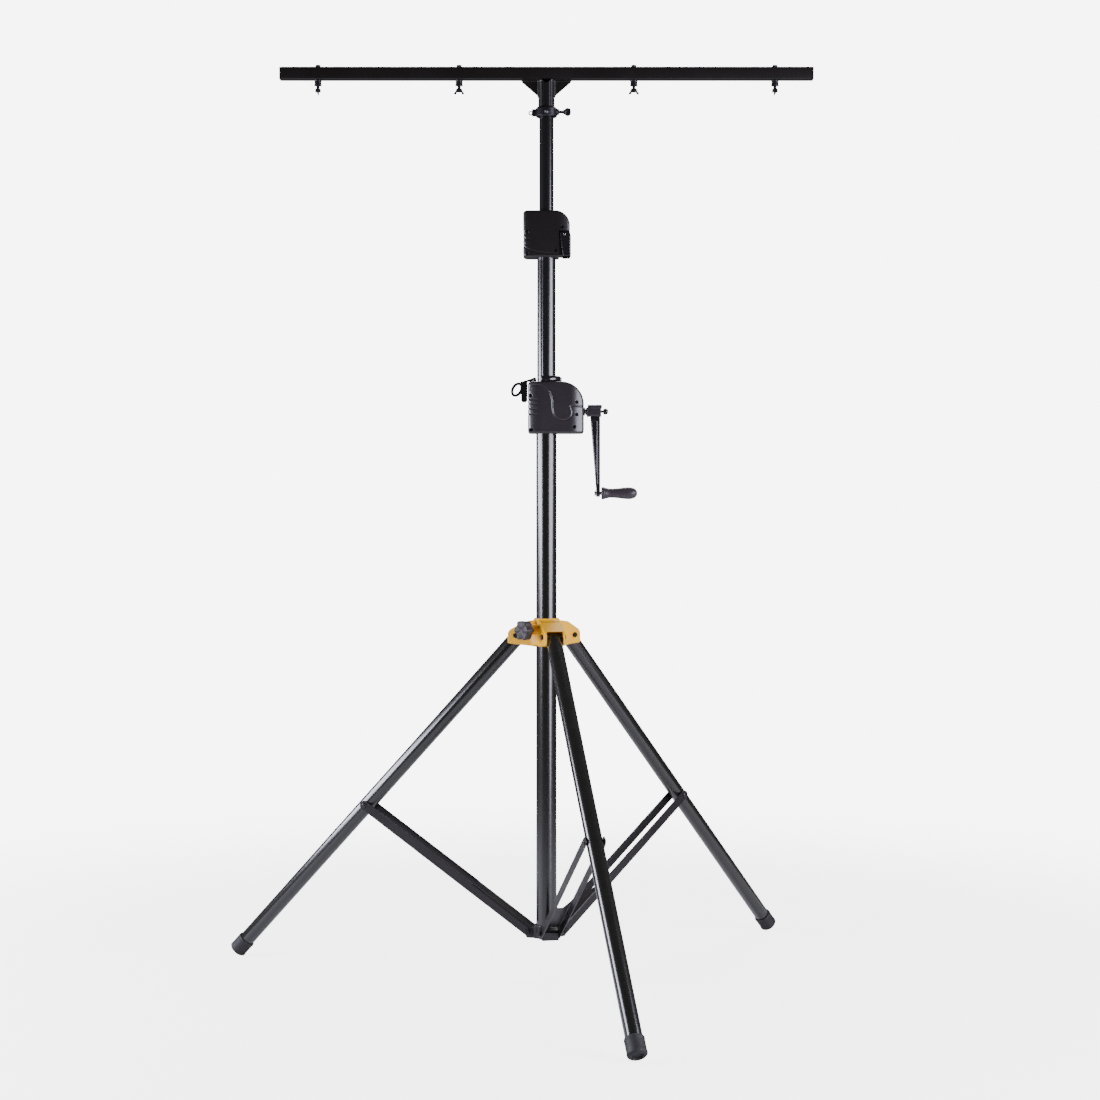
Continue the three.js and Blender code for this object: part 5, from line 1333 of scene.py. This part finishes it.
def upper_case_field(x, y, z):
    outline = rounded_box_outline(x, z, (-56.5, 1749), (57, 1863), (7, 6, 36, 8))
    for height in UPPER_GRIPS:
        outline = soft_max(outline, 7 - np.hypot(x + 62, z - height), 2.5)
    crown = 5 * np.clip((np.abs(x) - 28) / 28, 0, 1) ** 2
    outer = crossed(outline, np.abs(y) - 33 + crown, 6)
    inner = crossed(outline + 3, np.abs(y) - 30 + crown, 3)
    whole = sharp_max(outer, -inner)
    notch = sharp_max(30.3 - x, z - 1813.5)
    whole = sharp_max(whole, -notch)
    cheek = crossed(slab(x, 27.3, 30.3), slab(z, 1750, 1813.5))
    roof = crossed(slab(x, 27.3, 55.5), slab(z, 1813.5, 1815.7))
    closing = sharp_max(np.minimum(cheek, roof), outer + 0.5)
    closing = sharp_max(closing, -block_field(x, y, z, (0, -8, 1799), (54, 8, 1845)))
    whole = np.minimum(whole, closing)
    core = block_field(x, y, z, (29, -27, 1753), (40, 27, 1812), 2)
    core = sharp_max(core, -block_field(x, y, z, (20, -7.5, 1793), (60, 7.5, 1830)))
    whole = np.minimum(whole, core)
    for sx, sz in UPPER_SCREWS:
        whole = np.minimum(whole, rod_field(x - sx, z - sz, y, 5.2, -31, -24))
        whole = sharp_max(whole, -rod_field(x - sx, z - sz, y, 3.9, -45, -28))
    bore = np.where(z < 1804, 22.8, 18.3)
    return soft_max(whole, bore - np.hypot(x, y), 0.6)


def upper_case_relief(x, y, z):
    seam = 0.6 * bell(y, 1.2)
    sweep = curve_through([(-56, 1776), (-44, 1768), (-20, 1761), (6, 1758), (30, 1758)], 6)
    foot = 1.0 * bell(polyline_distance(x, z, sweep), 2.2)
    grips = sum(bell(z - height, 2.2) for height in UPPER_GRIPS) * (1 - ramp(x, -44, -34))
    return np.where(y < -20, foot + 0.9 * grips, np.where(np.abs(y) < 5, seam, 0))


low_box, high_box = (-57, -34, 1748), (58, 34, 1864)
upper = moulding("upper_case", upper_case_field, low_box, high_box, 0.9, upper_case_relief, keep=0.5)
dress(upper, "middle_mast", top_plastic, ["upper_housing_front", "upper_housing_rear"])
sink_screws("upper_case_screws", "middle_mast", [(x, -27.9, z) for x, z in UPPER_SCREWS])

# %% [markdown]
# ## The trigger
#
# The trigger is a thin shell that closes the corner of the upper case, with ribs for the fingers. It
# turns on a pin near its top, and a toe reaches in over the tube to lift the tilting plate. Shell, ribs
# and toe are one moulding, so they are one field.

# %% Trigger
TRIGGER_PIN_X, TRIGGER_PIN_Z = 44, 1803


def trigger_field(x, y, z):
    side = [(39.3, 1751), (57, 1751), (59.5, 1755), (59.5, 1800), (57, 1810.5), (31.3, 1810.5)]
    outer = crossed(polygon_field(x, z, side), np.abs(y) - 32.5, 4)
    room = [(20, 1740), (54, 1740), (56.5, 1755), (56.5, 1800), (54.5, 1820), (20, 1820)]
    whole = sharp_max(outer, -crossed(polygon_field(x, z, room), np.abs(y) - 29.5, 2))
    ribs = np.abs((z - 1757) % 7 - 3.5)
    whole = whole + np.where((x > 56) & (z < 1797), 0.5 * bell(ribs, 1.8), 0)
    toe = [(22, 1811.5), (39, 1800), (58, 1797), (58, 1805)]
    toe += [(44, 1807.5), (36, 1812.5), (28, 1815.5), (22, 1815.5)]
    whole = np.minimum(whole, crossed(polygon_field(x, z, toe), np.abs(y) - 5, 0.6))
    return sharp_max(whole, 2.9 - np.hypot(x - TRIGGER_PIN_X, z - TRIGGER_PIN_Z))


trigger = moulding("squeeze_trigger", trigger_field, (21, -33, 1750), (60, 33, 1816), 0.7, keep=0.5)
dress(trigger, "trigger", gloss_plastic, ["release_trigger"])
axle = across(-32.9, 32.9, 2.5, "trigger_axle", 0.4)
place(axle, shift(TRIGGER_PIN_X, 0, TRIGGER_PIN_Z))
dress(axle, "middle_mast", plated, ["trigger_pin"])

# %% [markdown]
# ## The bar and its socket
#
# The crossbar is a square steel tube with plastic plugs in its ends. A sawn tube could be a cube with
# bevels, but it is hollow and its corners are round inside and out, so two rounded squares are drawn and
# joined along the bar. Each plug is a thin cap with a block behind it that fills the tube's mouth.

# %% Crossbar
BAR_SIDE = 30
BAR_UNDERSIDE = 2184
PLUG_HALF = 11.5
PLUG_CORNER = 3.5
SPIGOT_HALF = 12.2


def square_tube(name, half_x, side, wall, low, corner=2.6):
    """A square tube along X with round corners inside and out."""
    mid, rings = low + side / 2, []
    for radius_in, half in ((corner, side / 2), (corner - 1.2, side / 2 - wall)):
        c = half - radius_in
        section = [*arc((c, c), radius_in, 0, 90, 5), *arc((-c, c), radius_in, 90, 180, 5)]
        section += [*arc((-c, -c), radius_in, 180, 270, 5), *arc((c, -c), radius_in, 270, 360, 5)]
        rings.append(section)
    count, points, faces = len(rings[0]), [], []
    for x in (-half_x, half_x):
        for section in rings:
            points += [(x, a, mid + b) for a, b in section]
    for k in range(count):
        n = (k + 1) % count
        faces.append((k, n, 2 * count + n, 2 * count + k)[::-1])
        faces.append((count + k, count + n, 3 * count + n, 3 * count + k))
        faces.append((k, n, count + n, count + k))
        faces.append((2 * count + k, 2 * count + n, 3 * count + n, 3 * count + k)[::-1])
    piece = mesh_piece(name, points, faces)
    work = bmesh.new()
    work.from_mesh(piece.data)
    bmesh.ops.recalc_face_normals(work, faces=work.faces)
    work.to_mesh(piece.data)
    work.free()
    return piece


bar = square_tube("bar_tube", 646.7, BAR_SIDE, 2, BAR_UNDERSIDE)
dress(bar, "bar_head", bar_coat, ["crossbar"])
cap_outline = []
for quarter, (a, b) in enumerate(((1, 1), (-1, 1), (-1, -1), (1, -1))):
    corner_middle = (a * PLUG_HALF, b * PLUG_HALF)
    cap_outline += arc(corner_middle, PLUG_CORNER, 90 * quarter, 90 * quarter + 90, 5)
square = [(a * SPIGOT_HALF, b * SPIGOT_HALF) for a, b in ((-1, -1), (1, -1), (1, 1), (-1, 1))]
for turn, side in ((0, "right"), (180, "left")):
    flange = plate("flange", cap_outline, 647, 650, 0.7, axis="X")
    spigot = plate("spigot", square, 630, 647.6, 0.6, axis="X")
    plug = joined(f"bar_plug_{side}", [flange, spigot])
    place(plug, spin(turn, "Z") @ shift(0, 0, BAR_UNDERSIDE + BAR_SIDE / 2))
    dress(plug, "bar_head", top_plastic, [f"crossbar_plug_{side}"])
print("bar length", round(bar.dimensions[0] * 1000, 1), "mm")

# %% [markdown]
# ## The bar socket
#
# A sleeve slips over the top tube, a gusset stiffens it, and the bar lies on a saddle. The three are
# welded to each other. The weld is drawn as a row of small overlapping beads where the gusset meets the
# sleeve, which is what a hand torch leaves. In a field the beads cost one line and melt into both sides.

# %% Bar socket
CLAMP_SCREW_Z = 2106


def socket_field(x, y, z):
    radius = np.hypot(x, y)
    sleeve = crossed(radius - 19.8, slab(z, 2096, 2183.7), 0.6)
    gusset_side = [(-17, 2141), (17, 2141), (60, 2178.5), (60, 2183.7), (-60, 2183.7), (-60, 2178.5)]
    gusset = crossed(polygon_field(x, z, gusset_side), slab(y, -2, 2), 0.5)
    saddle = block_field(x, y, z, (-60, -15, 2181.7), (60, 15, 2183.7), 0.6)
    whole = soft_min(soft_min(sleeve, gusset, 2.2), saddle, 3.5)
    row = (z - 2143) - 2.6 * np.clip(np.round((z - 2143) / 2.6), 0, 14)
    bead = np.sqrt((np.abs(x) - 20.2) ** 2 + (np.abs(y) - 2.6) ** 2 + row**2) - 1.9
    whole = soft_min(whole, bead, 1.0)
    whole = sharp_max(whole, z - 2183.7)
    bore = crossed(radius - 18.0, slab(z, 2080, 2179.7))
    whole = sharp_max(whole, -bore)
    screw = np.where(x > 0, np.hypot(y, z - CLAMP_SCREW_Z), 99)
    return sharp_max(whole, 4.5 - screw)


socket = moulding("welded_socket", socket_field, (-61, -16, 2095), (61, 16, 2184), 0.7, keep=0.5)
dress(socket, "bar_head", bar_coat, ["bar_socket"])
print("socket size", [round(v * 1000, 1) for v in socket.dimensions])

# %% [markdown]
# ## The socket clamp and its thumb screw
#
# A split band closes the foot of the sleeve on the top tube. It has two ears with a slit between them, a
# boss for the thumb screw, a small clip ring and a screw in front. The thumb screw is a flat paddle, with
# a waist for finger and thumb, on a threaded stem. Band and paddle are moulded, and the stem is turned.

# %% Socket clamp and thumb screw
def clamp_field(x, y, z):
    radius = np.hypot(x, y)
    section = [(20.3, 2093), (24.3, 2093), (26.3, 2096), (26.3, 2113), (22.3, 2118), (20.3, 2118)]
    whole = polygon_field(radius, z, section)
    ears = block_field(x, y, z, (-35, -8, 2096), (-20.5, 8, 2112), 1.5)
    whole = soft_min(whole, ears, 2.5)
    boss = rod_field(y, z - CLAMP_SCREW_Z, x, 7.5, 22, 31, 1.2)
    whole = soft_min(whole, boss, 2.5)
    ring = np.hypot(np.hypot(x + 38.5, z - 2104) - 4.2, y - 5) - 1.5
    whole = soft_min(whole, ring, 1.0)
    seat = rod_field(x, z - 2103, y, 4.6, -27.2, -20, 0.6)
    whole = soft_min(whole, seat, 1.5)
    slit = np.where(x < -18, np.abs(y), 99)
    whole = sharp_max(whole, 1.0 - slit)
    screw = np.where(x > 0, np.hypot(y, z - CLAMP_SCREW_Z), 99)
    whole = sharp_max(whole, 4.5 - screw)
    return sharp_max(whole, 20.3 - radius)


clamp = moulding("split_clamp", clamp_field, (-45, -28, 2092), (32, 28, 2119), 0.6, keep=0.6)
dress(clamp, "bar_head", dark_steel, ["socket_clamp"])
stop_screw = place(copied("stop_screw", screw_master), shift(0, -27.2, 2103))
dress(stop_screw, "bar_head", plated)


def paddle_field(x, y, z):
    side = [(43, 2102), (49, 2095), (58, 2095), (60, 2097), (60, 2115), (58, 2117), (49, 2117), (43, 2110)]
    disc = np.hypot((x - 50) / 1.05, z - CLAMP_SCREW_Z) - 10.4
    outline = soft_max(polygon_field(x, z, side), disc, 3)
    waist = 0.9 * bell(np.hypot(x - 53, z - CLAMP_SCREW_Z), 7)
    paddle = crossed(outline, np.abs(y) - 3 + waist, 1.4)
    root = rod_field(y, z - CLAMP_SCREW_Z, x, 5, 40.5, 46, 1)
    return soft_min(paddle, root, 3)


paddle = moulding("thumb_paddle", paddle_field, (40, -5.5, 2094), (61, 5.5, 2118), 0.45, keep=0.6)
screw_thread = threaded(4, 17.8, 43, name="screw_thread")
place(screw_thread, shift(0, 0, CLAMP_SCREW_Z) @ spin(90, "Y"))
thumb_screw = joined("thumb_screw", [paddle, screw_thread])
dress(thumb_screw, "clamp_thumbscrew", dark_steel, ["clamp_screw"])
bpy.data.objects.remove(screw_master)

# %% [markdown]
# ## Lamp bolts and wing nuts
#
# Each lamp hangs on a bolt through the bar. Over the bar is its hexagon head; under the bar is a spacer,
# then free thread, then a cast wing nut. The nut is a cone-sided barrel with two wings that lean out. A
# casting is all fillets, so the nut is moulded once and copied, while bolt and spacer are turned.

# %% Lamp bolts
LAMP_PLACES = {1: (-557, 90), 2: (-213, 0), 3: (213, 0), 4: (557, 90)}
SPACER_PROFILE = [(0, 2169.7), (9.5, 2169.7), (9.5, 2172), (8.6, 2173)]
SPACER_PROFILE += [(8.6, 2181), (9.2, 2182.2), (0, 2182.2)]


def wing_nut_field(x, y, z):
    barrel = crossed(np.hypot(x, y) - 7.4 + 0.12 * (z - 2154.7), slab(z, 2154.7, 2162.7), 0.8)
    side = [(-13, 2148.7), (-7, 2148.7), (-5, 2154.7), (5, 2154.7), (7, 2148.7), (13, 2148.7)]
    side += [(6.5, 2160.7), (-6.5, 2160.7)]
    wings = crossed(polygon_field(x, z, side) - 0.05, np.abs(y) - 1.5, 1.1)
    tips = np.hypot(np.abs(x) - 9.6, z - 2151.6) - 2.9
    wings = np.minimum(wings, crossed(tips, np.abs(y) - 1.5, 1.1))
    whole = soft_min(barrel, wings, 3)
    whole = sharp_max(whole, -rod_field(x, y, z, 4.35, 2140, 2170))
    return whole


nut_master = moulding("nut_master", wing_nut_field, (-14, -8, 2148), (14, 8, 2163), 0.5, keep=0.6)
for number, (bolt_x, wing_turn) in LAMP_PLACES.items():
    head = hex_head(7, 2214.3, 2220.3)
    shank = lathe("shank", [(0, 2168), (4, 2168), (4, 2215), (0, 2215)], 28)
    thread = threaded(4, 2154, 2168)
    washer = lathe("washer", rounded([(0, 2182.4), (9.5, 2182.4), (9.5, 2183.7), (0, 2183.7)], 0.3), 40)
    spacer = lathe("spacer", rounded(SPACER_PROFILE, 0.5), 40)
    bolt = joined(f"hex_bolt_{number}", [head, shank, thread, washer, spacer])
    place(bolt, shift(bolt_x, 0, 0))
    dress(bolt, "bar_head", dark_steel, [f"lamp_bolt_{number}"])
    nut = copied(f"cast_wing_nut_{number}", nut_master)
    place(nut, shift(bolt_x, 0, 0) @ spin(wing_turn, "Z"))
    dress(nut, f"nut_{number}", dark_steel, [f"wing_nut_{number}"])
bpy.data.objects.remove(nut_master)
print("lamp bolts ready")

# %% [markdown]
# ## The spring over the plate
#
# Inside the upper case a coil spring presses the tilting plate down, and rides on it. It is wound wide,
# so that it still clears the top tube when the trigger tilts the plate. A curve with a round bevel would
# make it too, but a helix of rings is exact, and has clean closed ends.

# %% Plate spring
def helix(name, radius, wire_radius, low, high, turns, steps=28, sides=12):
    """A round wire on a helix about Z, with closed ends."""
    count = int(turns * steps)
    points, faces = [], []
    for i in range(count + 1):
        angle = 2 * math.pi * turns * i / count
        out_way = np.array((math.cos(angle), math.sin(angle), 0))
        centre = out_way * radius + np.array((0, 0, low + (high - low) * i / count))
        for k in range(sides):
            t = 2 * math.pi * k / sides
            around = math.cos(t) * out_way + math.sin(t) * np.array((0, 0, 1))
            points.append(centre + wire_radius * around)
    for i in range(count):
        for k in range(sides):
            n = (k + 1) % sides
            a, b = i * sides, (i + 1) * sides
            faces.append((a + k, b + k, b + n, a + n))
    faces.append(tuple(range(sides)))
    faces.append(tuple(range(count * sides, (count + 1) * sides))[::-1])
    return mesh_piece(name, points, faces)


SPRING_RADIUS = 23.6
WIRE_RADIUS = 1.2
spring = helix("plate_spring", SPRING_RADIUS, WIRE_RADIUS, 1822.5, 1853.8, 3)
dress(spring, "lock_plate", plated, ["lock_spring"])
print("plate spring inner radius", round(SPRING_RADIUS - WIRE_RADIUS, 1))

# %% [markdown]
# ## What the housings hide
#
# The bushes, the gears, the shaft and the tilting plate stay as the CAD has them. They are out of sight,
# and only show if a case is taken off. Each gets the finish of what it is made of: steel, bronze or acetal.

# %% Inner pieces
INNER = {
    "crank_shaft": plated,
    "gear_axle": plated,
    "worm_wheel": bronze_metal,
    "rack_pinion": plated,
    "mid_foot_bush": natural_acetal,
    "mouth_bush": natural_acetal,
    "top_foot_bush": natural_acetal,
    "grip_plate": plated,
}
for node_name, (material, slot_name) in INNER.items():
    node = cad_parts[node_name]
    node.data.materials.clear()
    node.data.materials.append(material)
bare = [n for n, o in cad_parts.items() if not o.hide_render and n not in INNER]
print("CAD nodes left with no new finish:", bare)

# %% [markdown]
# ## The floor
#
# The stand is shown in a pale studio, on a round floor that fades out before its edge, so no horizon
# shows. It glows for the camera alone, to be as pale as the room, and doesn't light the stand from below.

# %% Floor
FLOOR = (0.86, 0.86, 0.87)
FLOOR_GLOW = 4.0
FADE_START, FADE_END = 1.2, 3.1
floor_work = bmesh.new()
bmesh.ops.create_circle(floor_work, cap_ends=True, segments=96, radius=3.2)
floor_mesh = bpy.data.meshes.new("floor")
floor_work.to_mesh(floor_mesh)
floor_work.free()
floor = bpy.data.objects.new("floor", floor_mesh)
bpy.context.scene.collection.objects.link(floor)
floor.location = (0, 0, -0.0005)
floor_material = bpy.data.materials.new("studio_floor")
floor_material.use_nodes = True
tree = floor_material.node_tree
tree.nodes.clear()
out = add(tree, "ShaderNodeOutputMaterial")
shader = add(tree, "ShaderNodeBsdfPrincipled")
shader.inputs["Base Color"].default_value = (*FLOOR, 1)
shader.inputs["Roughness"].default_value = 0.7
path = add(tree, "ShaderNodeLightPath")
glow = math_node(tree, "MULTIPLY", path.outputs["Is Camera Ray"], FLOOR_GLOW)
wire(tree, glow, shader.inputs["Emission Strength"])
shader.inputs["Emission Color"].default_value = (1, 1, 1, 1)
place_in = add(tree, "ShaderNodeTexCoord").outputs["Object"]
length = add(tree, "ShaderNodeVectorMath", operation="LENGTH")
wire(tree, place_in, length.inputs[0])
fade = add(tree, "ShaderNodeMapRange", interpolation_type="SMOOTHSTEP")
wire(tree, length.outputs["Value"], fade.inputs["Value"])
fade.inputs["From Min"].default_value = FADE_START
fade.inputs["From Max"].default_value = FADE_END
fade.inputs["To Min"].default_value = 1
fade.inputs["To Max"].default_value = 0
wire(tree, fade.outputs["Result"], shader.inputs["Alpha"])
wire(tree, shader.outputs["BSDF"], out.inputs["Surface"])
floor_mesh.materials.append(floor_material)
print("floor radius", round(floor.dimensions[0] / 2, 2), "m")

# %% [markdown]
# ## The lights and the room
#
# Polished black tubes show only what they reflect. So two tall softboxes, a thin one at the left and a
# wider one at the front right, draw the two long highlights on every upright, and a weak one high at the
# back picks out the tops. The room is bright to the camera and dim to everything else, which keeps the
# black coat black. A bright room seen by all would turn every tube grey.

# %% Lights
ROOM_SEEN = 7
ROOM_AMBIENT = 0.1


def softbox(name, azimuth, distance, height, wide, tall, power, colour=(1, 1, 1)):
    """A tall soft light round the stand; azimuth 0 is the camera's side and turns to the right."""
    data = bpy.data.lights.new(name, "AREA")
    data.shape = "RECTANGLE"
    data.size, data.size_y = wide, tall
    data.energy = power
    data.color = colour
    light = bpy.data.objects.new(name, data)
    a = math.radians(azimuth)
    light.location = (distance * math.sin(a), -distance * math.cos(a), height)
    aim = Vector((0, 0, 1.1)) - light.location
    light.rotation_euler = aim.to_track_quat("-Z", "Z").to_euler()
    bpy.context.scene.collection.objects.link(light)
    print(name, power, "W")


softbox("left_box", -80, 3.0, 1.3, 0.7, 3.2, 160, (0.84, 0.85, 1.0))
softbox("right_box", 56, 3.6, 1.4, 1.7, 3.2, 210, (0.84, 0.84, 1.0))
softbox("high_back", 170, 2.4, 3.6, 2.2, 1.6, 60)

world = bpy.data.worlds.new("studio")
bpy.context.scene.world = world
world.use_nodes = True
tree = world.node_tree
tree.nodes.clear()
out = add(tree, "ShaderNodeOutputWorld")
path = add(tree, "ShaderNodeLightPath")
seen = add(tree, "ShaderNodeBackground")
seen.inputs["Color"].default_value = (1, 1, 1, 1)
seen.inputs["Strength"].default_value = ROOM_SEEN
ambient = add(tree, "ShaderNodeBackground")
ambient.inputs["Color"].default_value = (0.9, 0.92, 1.0, 1)
ambient.inputs["Strength"].default_value = ROOM_AMBIENT
mix = add(tree, "ShaderNodeMixShader")
wire(tree, path.outputs["Is Camera Ray"], mix.inputs["Fac"])
wire(tree, ambient.outputs["Background"], mix.inputs[1])
wire(tree, seen.outputs["Background"], mix.inputs[2])
wire(tree, mix.outputs["Shader"], out.inputs["Surface"])
